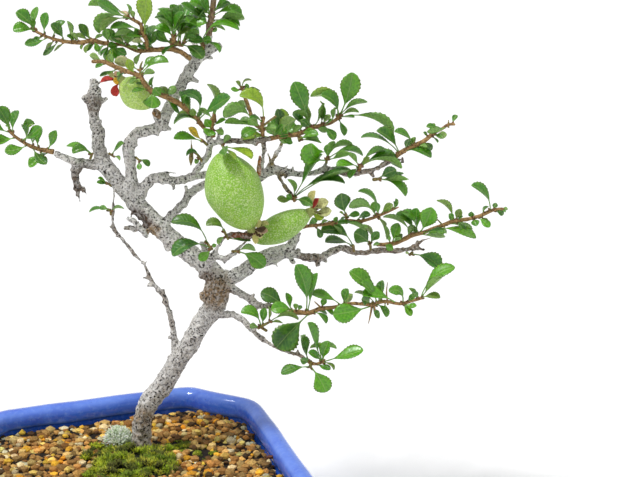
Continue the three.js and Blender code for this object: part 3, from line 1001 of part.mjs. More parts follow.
function wirePath(x) {
  const top = meshZ + DRAIN.meshThickness / 2 + DRAIN.wire + GAP;
  const below = potFloor - DRAIN.wire - GAP;
  const leg = (DRAIN.mesh - DRAIN.bar) / DRAIN.cells / 2;
  const places = [
    [-DRAIN.radius - DRAIN.wireFoot, below],
    [-leg, below],
    [-leg, top],
    [leg, top],
    [leg, below],
    [DRAIN.radius + DRAIN.wireFoot, below],
  ];
  return places.map((place) => new THREE.Vector3(x + place[0], potMiddle.y + leg, place[1]));
}

function drainWire(x) {
  const places = wirePath(x);
  const runs = [];
  for (let i = 0; i + 1 < places.length; i += 1) {
    const middle = places[i].clone().add(places[i + 1]).multiplyScalar(0.5);
    const length = places[i].distanceTo(places[i + 1]) + DRAIN.wire;
    const upright = Math.abs(places[i + 1].z - places[i].z) > 1;
    const size = upright ? [DRAIN.wire, length] : [length, DRAIN.wire];
    runs.push(box(middle.x, middle.y, middle.z, size[0], DRAIN.wire, size[1]));
  }
  return joined(runs);
}

// The bed of grains fills the pot to below the rim and is kept off the drains, the roots and the wall.
function soil(roots) {
  const floorTop = potFloor + POT.floorThickness;
  const well = potSlab(POT.rimWidth + GAP, floorTop, POT.rimTop + 1, POT.taper - POT.wallInset);
  const wide = (POT.right - POT.left) * 2;
  const floor = floorTop + GAP;
  const layer = box(potMiddle.x, potMiddle.y, (floor + SOIL_TOP) / 2, wide, wide, SOIL_TOP - floor);
  const bed = well.intersect(layer);
  const room = DRAIN.mesh + 2 * DRAIN.roomBeside;
  const drains = drainPlaces.map((x) => box(x, potMiddle.y, meshZ, room, room, DRAIN.roomHeight));
  return bed.subtract(joined([roots, ...drains]));
}

// A low cushion that lies on the soil round whatever grows through it.
function cushion({ x, y, halfX, halfY, height }, roots) {
  const profile = [new THREE.Vector2(0, 0), new THREE.Vector2(1, 0)];
  for (let i = 1; i <= 4; i += 1) {
    const angle = (Math.PI / 2) * (i / 4);
    profile.push(new THREE.Vector2(i === 4 ? 0 : Math.cos(angle), Math.sin(angle)));
  }
  const turned = new THREE.LatheGeometry(profile, 14);
  turned.rotateX(Math.PI / 2);
  turned.scale(halfX, halfY, height);
  turned.translate(x, y, SOIL_TOP + GAP);
  return solid(turned).subtract(roots);
}

const object = new THREE.Group();

function add(name, body, [colour, roughness], metalness = 0) {
  const material = new THREE.MeshStandardMaterial({ color: colour, roughness, metalness });
  const mesh = new THREE.Mesh(geometryOf(body), material);
  mesh.name = name;
  object.add(mesh);
}

const wood = joined(LIMBS.map((points) => limb(points)));
const aroundWood = joined(LIMBS.map((points) => limb(points, GAP)));
add("wood", wood, COLOURS.bark);

// Each fruit and cluster keeps clear of the wood and of the ones before it.
let taken = aroundWood;

function addClear(row, shape, colour) {
  add(row.name, shape(row).subtract(taken), colour);
  taken = taken.add(shape(row, GAP));
}

for (const row of FRUITS) {
  addClear(row, fruit, COLOURS.fruit);
}
for (const row of LEAFAGE) {
  addClear(row, cluster, COLOURS.leaf);
}

add("pot", pot(), COLOURS.glaze);
for (const [i, x] of drainPlaces.entries()) {
  add(`drain_mesh_${i + 1}`, drainMesh(x), COLOURS.plastic);
  add(`drain_wire_${i + 1}`, drainWire(x), COLOURS.wire, 1);
}
add("soil", soil(aroundWood), COLOURS.soil);
for (const row of CUSHIONS) {
  const finish = row.name === "lichen_tuft" ? COLOURS.lichen : COLOURS.moss;
  add(row.name, cushion(row, aroundWood), finish);
}

// The origin is the middle of the object's box, on the surface that it stands on.
const bounds = new THREE.Box3().setFromObject(object);
object.position.set(-(bounds.min.x + bounds.max.x) / 2, -(bounds.min.y + bounds.max.y) / 2, -bounds.min.z);
object.updateMatrixWorld(true);

export default object;
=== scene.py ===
"""The looks of a flowering quince bonsai in a blue glazed pot, on its CAD frame."""

import math
import random
from collections import namedtuple

import bmesh
import bpy
from mathutils import Matrix, Vector, noise


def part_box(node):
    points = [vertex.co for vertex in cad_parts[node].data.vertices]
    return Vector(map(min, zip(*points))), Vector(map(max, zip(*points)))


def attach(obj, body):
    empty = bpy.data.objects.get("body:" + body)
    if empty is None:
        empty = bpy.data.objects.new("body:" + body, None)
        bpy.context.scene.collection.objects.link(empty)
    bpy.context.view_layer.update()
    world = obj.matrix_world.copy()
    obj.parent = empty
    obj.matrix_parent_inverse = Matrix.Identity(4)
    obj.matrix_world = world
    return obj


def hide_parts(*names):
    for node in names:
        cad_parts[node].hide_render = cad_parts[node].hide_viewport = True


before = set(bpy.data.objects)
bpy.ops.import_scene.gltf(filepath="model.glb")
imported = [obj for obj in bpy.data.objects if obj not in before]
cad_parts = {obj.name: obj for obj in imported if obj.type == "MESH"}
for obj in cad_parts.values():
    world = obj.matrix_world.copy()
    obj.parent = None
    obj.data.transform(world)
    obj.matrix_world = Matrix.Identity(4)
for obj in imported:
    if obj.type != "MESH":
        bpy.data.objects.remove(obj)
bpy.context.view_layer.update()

bl_info = {
    "name": "Quince bonsai",
    "version": (1, 0, 0),
    "blender": (4, 5, 0),
    "location": "3D View > Sidebar > Bonsai",
    "description": "Builds the looks of a potted flowering quince on its CAD frame",
    "category": "Object",
}

MM = 0.001

# The sight frame of the CAD part, in millimetres: u to the right of the trunk's foot, v above it as it is
# seen from the front left, and d nearer to the viewer; the tree comes nearer by LEAN for each one of height.
PITCH = math.radians(17.8)
TURN = math.radians(18.2)
DISTANCE = 750.0
AIM_U = 86.0
AIM_V = 104.0
LEAN = 0.29
LOOK = Vector((
    math.cos(PITCH) * math.sin(TURN),
    math.cos(PITCH) * math.cos(TURN),
    -math.sin(PITCH),
))
ACROSS = Vector((math.cos(TURN), -math.sin(TURN), 0.0))
UPWARD = ACROSS.cross(LOOK)
OBSERVER = ACROSS * AIM_U + UPWARD * AIM_V - LOOK * DISTANCE

# The pot's rim and foot and the soil's top, in millimetres from the trunk's foot.
POT_LEFT = -94.0
POT_RIGHT = 66.0
POT_FRONT = -114.0
POT_BACK = 46.0
POT_MIDDLE = ((POT_LEFT + POT_RIGHT) / 2, (POT_FRONT + POT_BACK) / 2)
POT_FOOT = -43.0
SOIL_TOP = -0.8

# The picture's frame: 36 mm across on the sensor for 312.5 mm at the tree.
SENSOR = 36.0
PICTURE_SPAN = 312.5

POT_LOW = Vector(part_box("pot")[0])
FOOT = POT_LOW - Vector((POT_LEFT, POT_FRONT, POT_FOOT)) * MM

# Leaf colours by letter: mid, bright, yellowish, dark, bluish, olive, golden, and for flower remains
# cream, dried brown, red and pale pink.
TINTS = {
    "m": "#3f8314",
    "b": "#589f0e",
    "y": "#9cbc28",
    "d": "#2b620f",
    "t": "#357528",
    "o": "#72873a",
    "g": "#f3bf35",
    "c": "#e9e79c",
    "k": "#5d4630",
    "r": "#d0403a",
    "p": "#e6c3a4",
}
UNDERSIDE = "#a8c878"

# Twigs with their leaves, by CAD node: stems as points "u v d radius", then after a bar the leaves as
# "foot u, foot v, tip u, tip v, width seen, bow to the left, nearer at the tip, side seen and colour".
LEAFAGE = {
    "leafy_shoot_top_left": """
    10 198.4 0 1.4, 4 198.2 0 1.4, -2 198 0 1.2, -8 200.5 -1 0.9, -14 201.2 -1 1, -20 202 -1 1.3,
    -24 203 0 1.4, -30 202 1 1.2, -38 202.5 2 1.1, -47 205 3 0.9, -55 209 3 0.7; 3 199 1 1.3, 3 203 2 1.1,
    1 207 2 1.4, 0 211 2 1.1, -4 213.5 2 0.9, -8 215.3 2 0.6; 24 194.6 2 1.2, 20 197.4 2 1.3,
    14.5 198.8 1.5 1.4, 9 198.4 0.5 1.4 | -23.5 205 -31 211 2.6 0 -3 +o, -30 202 -35 207 3 0 2 -o,
    -34 203 -36 213 2.4 0 -2 -d, -24 204 -19 206.3 1.4 0 2 -d, -24 202 -27.5 196.8 2.4 -0.6 4 +o,
    -24 202 -21.5 197.3 2.8 0.6 3 +b, -14.5 201 -20.5 195.7 2.6 0 3 +t, -10.5 200.8 -16 200.2 4 0 6 +m,
    -13.5 200.5 -7 196.3 4.6 -1 6 +m, -14 200.5 -15.5 191.5 4 0 5 +y, -8 200.5 -1.5 198.8 2 0 4 +y,
    5 199 -1.5 200.5 2 0 4 +t, -16 202 -17.5 209 4 0 1 +b, 3 205 3 226 8 0.4 6 +y,
    -7 215.3 -22 207.5 3 -4 -6 -b, -3 213.5 -10.5 218 2.6 0 -4 +p, -4 213.8 -26 222 3.6 -2 -6 -b,
    -1 207 -15.5 210.3 3.6 -1.5 5 +m, 0 206 -13 206 3 -0.5 4 -d, -5.5 201 -14 204 2.6 0 2 -p,
    1 204.5 -7 205 3 0 6 +b, 3 201.5 -4 203.6 2.6 0 7 -p, -38 202.5 -45 211 4.5 -1 3 +d,
    -41 203.3 -49 196 4.5 1 3 +d, -46 205 -58 201.5 4.5 1 5 +m, -48 205.5 -47 217 5 0.6 2 +m,
    -52 207.5 -64 208.5 5 -1 3 +b, -55 209 -62 218 5 -0.8 2 +m, -55 209 -52 220 4.6 0.5 -4 +b,
    -44 204.3 -38 213 4.2 0.8 -5 +m, -2.5 216 -21.5 222.9 5 1 2 +m, -4.9 215.9 -20.9 208.4 3 -2 4 -o,
    -23.3 207.8 -30.6 211.4 3 1 2 +d, -25.6 205.5 -32.7 206.6 2.5 0 -2 +o, -9 201.3 -17.3 209 5 1 -3 -m,
    -3.1 203.7 -10.2 210.8 5 1 -5 -o, -4.9 202.5 -15 205.5 4 0 2 +m, 1.6 199.5 -2.5 209 4 1 3 +m,
    6.4 200.7 1.6 207.8 3.5 0 -2 +t, 4 199.5 8.8 207.8 4 -1 2 +d, -17.3 199.5 -10.2 193.6 5 0.5 3 +b,
    -16.1 200.1 -17.3 192.4 3.5 0 2 +m, -22.7 200.7 -27.4 197.8 2.5 0 2 +m,
    -9 199.8 -3.5 206.5 3.5 -0.5 -4 -o, 2 200 7 211 4 1 -4 +d
    """,
    "leaf_cluster_top": """
    16 201.6 0 1.5, 16.5 204 1 1.5, 17.5 206.5 1 0.8; 16.3 202 0.5 1, 20.8 200.6 -1 1.1, 21.6 203 -1.5 0.9 |
    15 202 7 205.6 3.6 0.5 4 +t, 15.5 203 7 210 4 -2.4 2 +b, 16.5 205 7 214.6 3.4 -3 3 +d,
    17 206 8.5 217 5 -1 -3 -b, 19 203 8.5 219 3.6 -5 -5 +b, 19.5 203 20 221 6 0 -4 +d,
    18 204 31 211 3.8 5.5 2 +b, 21.5 202.5 27 212.5 3 0.5 -3 -m, 20 202 20.5 212 1.4 0 1 +t,
    19.5 200.5 31.3 194 6 1.6 6 +d, 18.5 200.3 11 195.8 2.8 -1 5 +m, 16 205 10 219 5 -1 1 +m,
    16 205 14.7 218.5 5 1 -4 -d, 17 205 22 217 4 1.5 3 +m, 16 202 8 208 4 1 4 +m, 16 201.6 8 204 3 0 3 +m,
    19.4 203 26.5 214.9 5 2 3 +m, 20.6 202 31.9 213.2 5 2.5 5 +b, 20 203 33 220.3 4.5 1 -3 +d,
    21 202 31.3 203.7 4 0.5 2 +t, 17 203 25 209 3.6 1 4 +o, 21 201 29.5 207 4 1 -2 -m
    """,
    "leaf_cluster_leader": """
    31 200.5 -3 1, 30.2 202 -2 1 | 30.3 201.5 23.5 205.5 3.6 -0.5 4 +m, 30 202 50.5 210.7 3 6 6 +b,
    30.3 201.2 35.5 203 4 1 5 +m, 30.8 201 40.5 197.5 2.6 2.4 6 +b
    """,
    "leafy_shoot_leader": """
    34.3 206.8 -5 1.9, 34.5 210 -5 2, 35.5 215 -5 1.8, 36.5 223 -5 1.6, 37.5 231 -6 1.4, 36 239 -7 1.1,
    33.5 246 -7 0.8 | 34 211 20.5 222 3.6 0 4 +m, 35 214.5 24.5 222.3 4 -1.5 3 +b,
    35 209.3 42.5 208.3 1.4 1 3 -m, 36 214.5 51 216.7 5.6 2.5 4 +b, 36 217 43 223.5 3 0 3 +m,
    35.5 215.5 30 224.5 4 0 4 +m, 36.6 224 25 228 5 -2 5 +b, 37 226 49 229 5 2 4 +m,
    37 228 45 238 5 1.5 -7 +b, 37.5 230 27 237 4.6 -2 -7 +m, 37.3 232 49 237.5 5 2 6 +m,
    37 235 26 243 5 -1.5 3 +b, 36.5 237 46 246 4.6 1.5 3 +m, 36 239 39 252 5 -1 5 +b,
    35 242 24 249 4.6 -2 2 +m, 34.5 243 43 253 4.6 1.5 -5 +b, 33.5 246 31 258 5 1 1 +m,
    33.5 246 24 254.5 4 -1 5 +m, 37 227 39 240 4.6 0 -11 +m, 37 226 33 236 4.6 0 10 +b,
    34.5 209 52 214 4 1.5 3 -m, 35 213 50.3 211.4 3.5 1 2 +m, 35 214 27 219 4 0.5 3 +d,
    35.5 216 45 222 4 1 -4 +t
    """,
    "leafy_shoot_above_fruit": """
    31 160.4 6.2 1.3, 27.5 164.5 7 1.3, 24 167.5 8 1.4, 20 171 10 1.5, 16 173.3 12 1.5, 10 175.8 13 1.4,
    5 178 13 1.5, 2 181.5 13 1.4, 0 185 13 1.4, -3 186.4 13 1.4, -8 188 13 1.3, -13 190 13 1.3,
    -18 192.3 13 1.2, -24 192.5 13 1; 0 186 13 0.9, 0 190 12 0.7, 1 192.6 12 0.3 |
    -1.5 187 -6 193.8 4 1 2 +y, -3 187 -13 192.5 4.6 -2.5 -3 -p, 1 186 14 193.3 4.6 2 3 +b,
    1 185.5 7 187.7 2.6 0.5 5 -m, 0 188 7 195.3 3 0 -3 +b, -17 192 -22.5 189.3 2.6 0 4 +m,
    -11 189.3 -20.5 185.5 2.4 0.5 4 +d, 4.5 178.4 -4.5 177.8 2.4 -0.5 4 +m, 5 177.6 5.2 169.2 8.4 0.6 4 +b,
    11.5 175.3 7 179.5 5 0.5 4 +b, 12.5 175 17 180.4 4 -0.5 -4 -m, 13.5 174.3 20 167.3 2.8 -1 -4 +m,
    25 166.8 21 173.5 2 -0.5 -3 +o, 28 164 26 169 3.6 0.5 3 +o, 30 161.7 16 162 2.8 -3 4 +m,
    28.8 163.3 44.5 175 7 0.6 11 +t, 28 164 19 177 5 -6.5 -5 +t, -0.7 187.7 -10 193 4 0 -3 -m,
    24 167.5 14 173 3.4 0 -2 +m, 28.5 164 19.4 177.6 4 1 -2 +t, 16 173 9 180 3.4 0 -5 +o
    """,
    "leaf_cluster_spur": """
    36.2 156.4 8.4 1.3, 35.6 160 9 1.3, 36.5 163.5 9 1.5, 37 166.6 9 0.7 | 35.7 158.5 32.3 163.5 4 0 4 +b,
    36 159.5 33.5 155.4 6.4 0 5 +b, 36.2 160 42 164 2.6 0 4 +b, 36.8 164 38.7 171.3 1.6 0 2 -m,
    36.6 165 34.3 182 1.8 -2 -3 +o, 36 163 29.2 168.7 1.4 -1 -5 -m, 36.4 158.5 41.8 156.8 3 0 4 -b
    """,
    "leaf_cluster_yellow": """
    32.6 151.6 8.4 0.9, 31.4 152.8 9.5 0.8 | 32 152.4 16.5 154 5.6 -1 3 +b, 32 153 24.5 159.6 3.4 0.5 4 +g
    """,
    "leaf_cluster_over_fruit": """
    41 150.6 9 0.9, 41.5 149.4 12 0.8 | 41 150.4 42.8 145.8 5 0 20 +b, 41.5 150 55.5 143.6 4 1.4 10 +y,
    41.5 149.8 47 144.2 2 0.5 20 +y, 41 150.3 44.6 155.6 3 0.3 3 -m
    """,
    "leaf_cluster_dry_bud": """
    30 143.8 5.4 0.8, 28.4 146 6.5 0.8, 25.6 148 5 0.8; 25.4 151.6 4.6 0.2, 25.6 148 5 0.9, 25.3 144 5 1.5,
    25.2 140.5 5 0.2 | 29.8 144.2 22.3 146 2.6 -2.6 4 +t, 29.6 144.3 27 142.6 2.6 0.5 4 -m
    """,
    "leafy_shoot_middle": """
    66 154.2 3 1.5, 70 155 0 1.4, 76 155.6 -4 1.4, 80 156.6 -7 1.4, 85 159 -11 1.3, 90 160.6 -15 1.2,
    95 161.8 -18 1.1, 98 163.6 -20 1, 99.8 165.6 -21 0.9; 79 156 -6 1, 79.5 152.8 -4 0.9 |
    100 165.6 106 187 9.5 -1 4 +b, 100 165.5 113.5 172.6 2.6 2 5 -m, 100 165 109.5 167.5 1.4 1 3 -o,
    99.5 164.8 107 164.7 1.2 0 5 +m, 99.3 165 84.3 177 4.6 -5 2 -y, 98.5 164.5 90.3 176.5 4.6 -3 5 +m,
    99 164.2 126.3 156.5 4.6 4.5 3 -m, 99.5 164 102.5 155.6 3 0 5 +m, 91 160.3 97.2 153.4 4 0.5 5 +m,
    90.5 161 91.2 170.2 4 0 2 +d, 86 159.8 91 173 2.2 -1.5 -3 -d, 85.8 159.8 83 171.8 2 1 3 -o,
    84.8 159.5 77 182.3 9 -0.5 4 +m, 72 155.4 70.5 169 5 0 -3 +y, 84 159 76 167 2 -3 3 -m,
    84.5 159 80.3 163 4 -0.5 5 +m, 90.8 161 95.8 163.6 1.6 -0.5 4 +t, 74 155.6 76 165 4.6 1 4 -m,
    68 154.7 64.5 162 4 0 3 -b, 74.5 155.7 80.3 160.5 3 0 6 -m, 67 154.5 60 157.3 1.8 -2.5 4 +o,
    76 155.6 69 155.3 3.4 -0.5 6 +m, 79.5 153.2 89 156 3.4 1 4 +b, 79.5 153 90.5 152 1.4 0.5 4 -m,
    70 161.9 69.2 168.8 5 0 2 +d, 66.3 158 77.3 164.3 4.6 1 3 -o, 62 158 49.9 154.2 5 -1 4 +y,
    62 157.5 71.1 160.9 3 0 5 +m, 83.6 159 76.4 166.9 4 0 -2 +t, 84 160 80.2 163.4 3.6 0 4 +m,
    80.7 155.2 89.4 152.8 3.5 0 2 +m, 80.2 155.7 86.5 158 3 0 4 +b
    """,
    "leafy_shoot_upright": """
    61 157 6.3 1.3, 60.8 159.5 7 1.2, 61.5 164.5 7 1.1; 60.8 158.6 6.6 1.1, 57 161.5 5 1.2, 55.5 165 4 1.2,
    54 170 3 1.1, 52 175 3 1, 50.5 180 3 0.7; 61 160 7 0.8, 64 162.5 7 0.7, 67.5 165 7 0.8 |
    61 164 49.3 176 6 -5 4 +y, 51 178.5 45.3 179 2.6 0.5 3 +b, 51 178.3 59.7 178.8 2.2 -0.5 -4 +m,
    50.6 179.5 47.9 182.8 1.4 0 2 +o, 50.6 179.8 55.6 183.2 1.2 2 1 +o, 57 161.5 41 165 6 -5 4 -m,
    57.5 161 42 161.6 2.6 0 -3 -b, 60.5 158 50.8 155 5 -1.5 7 +b, 60 159 54.5 164.5 6 0 5 -m,
    61 161.5 54.5 164 2 -1.5 8 +m, 61.5 159 67.7 159 3.6 0.5 5 -m
    """,
    "leaf_cluster_behind_fruit": """
    47.2 126.4 -40.4 0.9, 47.4 125 -42 0.8 | 47.2 126 37 131 5 1 -2 +m, 47.2 126 51 136 5 1 3 +b,
    47.4 125.5 56 130 5 1 -3 +m, 47.4 125 54.5 118 5 0 -5 +m, 47.3 125 40.5 118 5 0 -3 +b,
    47.4 125.5 44 136 4.6 0 -6 +m
    """,
    "leaf_cluster_left_spur": """
    33.2 101.8 11.8 0.9, 34.4 100.2 13.2 0.8, 35.8 98.6 13.4 0.8 | 33.6 101.2 15 112.7 6 -5 4 +d,
    35.3 99 15.5 95.5 6.4 -4 4 +t, 35.6 98.6 29 93.5 4.6 0.5 4 +b, 34.8 99.7 37.9 100.9 2 0 3 +m
    """,
    "leaf_cluster_stalk": """
    42 107.3 16.2 0.8, 43.8 103.6 16.4 0.7 | 42.3 107 32.8 110.5 4 -2.8 3 +o,
    43 105.4 38.4 101.3 2.6 -0.5 4 -m, 43.6 104 55 103.8 2.2 -0.5 3 +d
    """,
    "leaf_on_stalk": """
    47 97.6 15.9 0.8, 48.4 97.6 17 0.7 | 48 97.6 62 89.6 7.6 1.4 5 +b, 48.2 97.8 57.5 98.4 3 1 6 -m
    """,
    "leaf_cluster_above_small_fruit": """
    76.4 124.4 -1 1.1, 77 122.8 2 0.9 | 76.5 123.5 68.3 124 3.6 0.5 4 +o, 76.8 124.5 74 134 2.6 -1.5 3 -m,
    77 123.5 85.6 120.8 4.6 1 12 +d, 76.7 123.3 73 125.6 3 0 5 +m, 77 124.3 102.5 132 5.6 4.5 3 +d,
    93.2 140.8 104.8 139.8 4.5 1 3 +d, 96 141 90 147 3.6 0 -2 +m
    """,
    "leaf_cluster_big_leaf": """
    93.1 143 -2.5 0.9, 93.3 144.4 -1.5 0.8 | 93 143.2 85.5 151.3 11.4 3.6 5 +b, 93.2 143.8 94 151 4 0 3 +b,
    93.3 144 96.5 153 3.6 0 -3 -m, 93.4 144 106.5 151.7 3.6 3 -3 -m, 93.2 143.3 112 147 4 3 4 +d,
    93.3 143.4 105.5 147 3 -0.5 9 -m
    """,
    "leaf_cluster_right_spur": """
    109.6 139.3 2.2 1.1, 110 141 3.2 0.9 | 109.8 140.5 123 148.5 3.6 2.4 2 +d,
    109.5 140.2 103.5 147 2.6 0 3 -m, 109.3 139.6 97.8 141.3 4 -1 5 +b, 109.3 139.4 104.3 134.3 3 -1 6 +m,
    110.3 140.5 114.5 144.6 3 0 5 +o, 110.2 140 127.5 146.5 4.4 1.5 8 +m, 110.2 139.8 131.3 139.6 3.6 4 9 -m
    """,
    "leafy_shoot_right_upper": """
    127.2 144.8 7.8 1.5, 131 147.5 9 1.5, 137 150.5 10 1.4, 142 153 11 1.3, 147 157 12 1.2, 151 159 12 0.9,
    154 161 12 0.9, 157 161 12 0.7; 154 161 12 0.6, 154 163.2 12 0.25 | 129.5 146.6 118.5 159 5 -1.5 2 +d,
    129.3 146.5 110 155.4 3 -3 3 +m, 136.8 151 127 158 2.4 -1.5 2 +m, 137 151.3 136.3 154.8 2.4 0 2 -m,
    132.5 148.5 134.3 153.6 3 0.3 3 +d, 131 146.8 146.3 145.5 3.8 2 5 +m, 138 150.8 143.3 149.8 2.4 0 4 -m,
    150.5 158.8 143 160.3 2.6 -0.3 3 +m, 154 160.5 143.5 158 3 1.5 5 -m, 144 154.8 141.6 157.3 1.4 0 2 +m,
    146.5 156.5 151 154.8 2 0 4 +m, 145.5 155.6 149 152.3 1.4 0 4 +m
    """,
    "leaf_cluster_right_below": """
    117.6 133.6 5.4 1, 119 133.8 6.5 0.8 | 118.8 134 128 138.3 5.2 0.5 5 +t,
    119 134 131 137.5 3.4 -1.5 -1 +m, 119 133.9 134 133.4 2.2 -0.5 6 -m, 118.8 133.7 132.3 125 4.4 2.6 4 +b
    """,
    "leafy_shoot_behind_small_fruit": """
    80 109.4 -11.5 1.2, 84 110.2 -12 1.1, 90 110.8 -12 1, 98 112 -12 1, 104 113 -11 1, 110 112.7 -10 1,
    117 114.6 -9 1, 124 117.5 -8 0.8, 129 119.7 -8 0.35; 103 113 -11 0.9, 102.8 116 -9 0.8 |
    102.8 115.8 100.5 126.5 8 0.5 3 +d, 118 115 104 120 4.6 -3.5 4 -m, 103.2 114.5 109.3 116 3 0.8 6 +m,
    108 112.8 98.5 111.6 2.8 0 4 +m, 98.5 112 113 108.6 3 1.2 5 -m, 119 115.4 109.2 129 2.6 -3 2 +b,
    119 115.4 118.3 121.6 2.6 0 4 +m, 120 115.8 126.2 121 3.6 0.5 3 +o, 118.5 115 123.7 103.5 1.2 1 2 -m,
    119 115.2 122.7 110.2 1.8 0 5 +o, 102.8 116 99.5 117.3 1.2 0 2 +y, 88 111 86 114.4 3 0 4 +m,
    89.5 111.2 93.3 113.4 1.8 0 4 -m
    """,
    "leaf_cluster_dark": """
    115 99.7 -22 0.9, 114.8 101.5 -20.5 0.8 | 114.9 100.5 107 106.8 8 -1 4 +d,
    114.8 101.3 119.3 107.2 4.2 0.5 3 +m, 114.8 101.4 111.3 111.3 1.8 -2.5 1 +o
    """,
    "leaf_cluster_dark_inner": """
    106.5 99 -19 0.9, 106.3 100.6 -18 0.8 | 106.4 100 90 108 5.6 -4 6 +d, 106.3 100 92.3 103.2 3 -1.5 8 +d
    """,
    "leafy_shoot_far_right": """
    119.6 101 -22.4 1.2, 123 101 -22.5 1.3, 127 101.6 -22 1.3, 131 103.3 -21 1.3, 136 105.6 -20 1.3,
    141 106.8 -19 1.2, 146 108.8 -19 1.2, 151 110.6 -18 1.2, 157 112.8 -17 1.2, 164 113.7 -16 1.1,
    170 115.5 -15 1.1, 175.5 118 -14 1.1, 181 119.1 -13 0.6; 151 110.8 -18 0.6, 148.4 113.6 -17 0.25 |
    125.8 101.8 128.7 111.6 4.6 0 3 +b, 125 101.5 123.2 106 2 0 4 -m, 126 102 130.3 103.9 1.6 0.5 5 -m,
    121.5 100.8 126 98.3 3.4 0.3 6 +b, 121 101 116.3 101.3 1.8 0 5 -m, 137 106 127.3 115.3 4.6 -2.5 4 +d,
    136.5 105.8 121.2 114.6 3.2 -2.5 0 -d, 137.7 106.2 131 118.5 4 -3 2 +m,
    138.5 106.5 138.3 119.3 5 0.5 1 +m, 139.5 106.7 145.5 119.5 8.5 -0.5 4 +b,
    140.5 106.5 152 107.3 3.2 0.5 7 +m, 146 108.6 168 104.4 4.6 2 7 +b, 152 110.6 166 108.2 2.6 1.5 -3 -m,
    139.5 106.3 152 105.2 2.4 -0.5 10 -m, 157.3 113.2 160 118.8 3.6 0 2 +o,
    156.8 113.2 154.4 116.2 3 0 4 +m, 157 113.6 148.5 124 2.6 -1.5 1 -o, 158 113.2 161.2 115.2 1.2 0 3 +m,
    166 114.2 165.5 117.2 3 0.3 3 +m, 166.3 114 168 110.2 4 0 5 +m, 168.5 115 174.8 109.8 3.6 0 5 +b,
    174.8 118 165.5 131 3.4 -3 3 +m, 176.5 118.4 177.7 121.9 2.6 0 2 +m, 180 119.1 183.7 118.7 1.6 0 1 -m,
    180 118.9 182.6 117.2 1.2 0 3 +m
    """,
    "leaf_cluster_hanging": """
    135.3 96.4 -26.2 0.8, 134.6 95.6 -25 0.6 | 135.4 96.2 149.8 89.3 6.6 1.6 5 +t,
    134.8 95.8 132.6 97.4 1.4 0 4 -o
    """,
    "leafy_shoot_lower_right": """
    71.5 68 21 1.6, 75 67.4 22 1.5, 80 67 23 1.5, 85 67 23 1.4, 90 69 22 1.2, 97 69.7 21 1.1, 105 71.4 20 1,
    110 71.3 19 1, 116 71 18 1.1, 122 72.6 17 1, 130 71.4 15 1, 136 73 14 1, 141 74.3 13 0.9;
    115.8 70.6 18 0.8, 115 66 19 0.55, 114 61.5 20 0.2; 116.8 70.5 18 0.7, 117.2 68.3 18.5 0.5;
    90.5 69.2 22 0.6, 87 72.5 22.5 0.25; 123.5 72.4 17 0.6, 123 77 17 0.45, 123.5 82 17 0.2 |
    77.5 67.6 65.3 68.3 5.6 -1.6 5 +b, 76 67.8 73 77 3.6 0.5 -3 +b, 73 68 60 77.3 7.4 -1.5 -3 +d,
    78 67.5 78 71.9 2.6 0.3 4 -m, 82.8 67.3 78.5 91 8.6 -2 4 +m, 83.4 67.4 88 87 4.6 0 -3 +m,
    100.5 70.6 85.5 77.4 5.2 -1.2 3 +b, 101.5 70.8 104 78.9 3.6 0.5 2 +m, 86 67.2 93 61.5 2.6 1.5 4 +m,
    90.5 69.2 92.2 74 3 0 3 +m, 85 66.6 67.8 49.3 13.5 -0.5 10 +d, 115.5 70.4 96.2 66 9.2 0.6 8 +b,
    115 71 110.5 73.4 5 -0.8 6 +d, 120.5 72.3 105 88.3 6.6 -1 2 +b, 118.5 71.8 110.3 82 4.6 -1 6 +b,
    120.3 72.3 120.8 83.2 3.6 0 -4 +d, 128 71.8 111 76.3 4.6 -1.5 8 +b, 117.3 71.2 107 77.3 1.6 -1.5 -3 -o,
    117.3 71 123 64.6 3.2 1.6 5 +m, 131.2 71.8 124 77.8 4.6 -3.4 4 +b, 131 71.4 138.2 70.3 3 -0.8 4 +b,
    131 71.4 135.6 65.4 3 0 5 +b, 133 72.2 137 76 2.6 0 4 +m, 139.5 74 136 77.6 3 0 3 +m,
    139 73.9 134.3 79.3 1.2 0 0 -m, 141 74.3 149.8 74.2 3.6 1.2 4 +o, 141 74.6 157.3 90 6 3.4 1 +b,
    141.2 74.8 150.6 85.6 4.6 0.4 6 -b
    """,
    "leaf_cluster_low_spur": """
    60 59.8 20.2 0.9, 62.5 61.2 22 0.8, 65 62.5 23 0.6; 60.3 59.6 20.6 0.8, 63 57.9 21 0.9 |
    60 60.4 50 68 4.2 -3 3 +b, 61 60.6 62 69 3.6 0.3 3 +m, 60 59.8 54.5 61 3 0.3 6 -m,
    65 62.4 79.5 64.3 1.8 2.4 3 -o, 65 62.2 71 61.8 1.4 0.3 6 -o, 64.5 62.3 64.2 70 1.4 0 2 -o
    """,
    "leafy_shoot_lowest": """
    83.6 43 36 1.1, 85 41.8 36.5 1.2, 88 41.3 37 0.9, 91.5 42.4 38 1; 85 41.6 37 1, 85 39.5 38 0.9 |
    84.8 42.2 81.3 55.8 4.6 1 3 +d, 91.3 43 83.3 62 4.6 0 3 +b, 91.8 43 93.5 52.5 5 0.3 4 +b,
    91.6 43 98.2 49.2 3 5 -3 -m, 91.3 43 84.6 50.3 2 -4.4 -4 -o, 91 42.8 83.8 47 3.6 -0.8 3 +m,
    84.6 42 80.2 43.5 3.6 0 6 +m, 84.8 39.8 70 36.8 5 -0.8 4 +m, 85.2 39.6 92.8 27 8.8 0.8 5 +b,
    92 42.3 111.5 48.3 6.4 0 4 +b, 87.5 41.2 95 38.4 2.8 0 5 +m, 92 42 97.2 38.6 1.4 1 5 +o
    """,
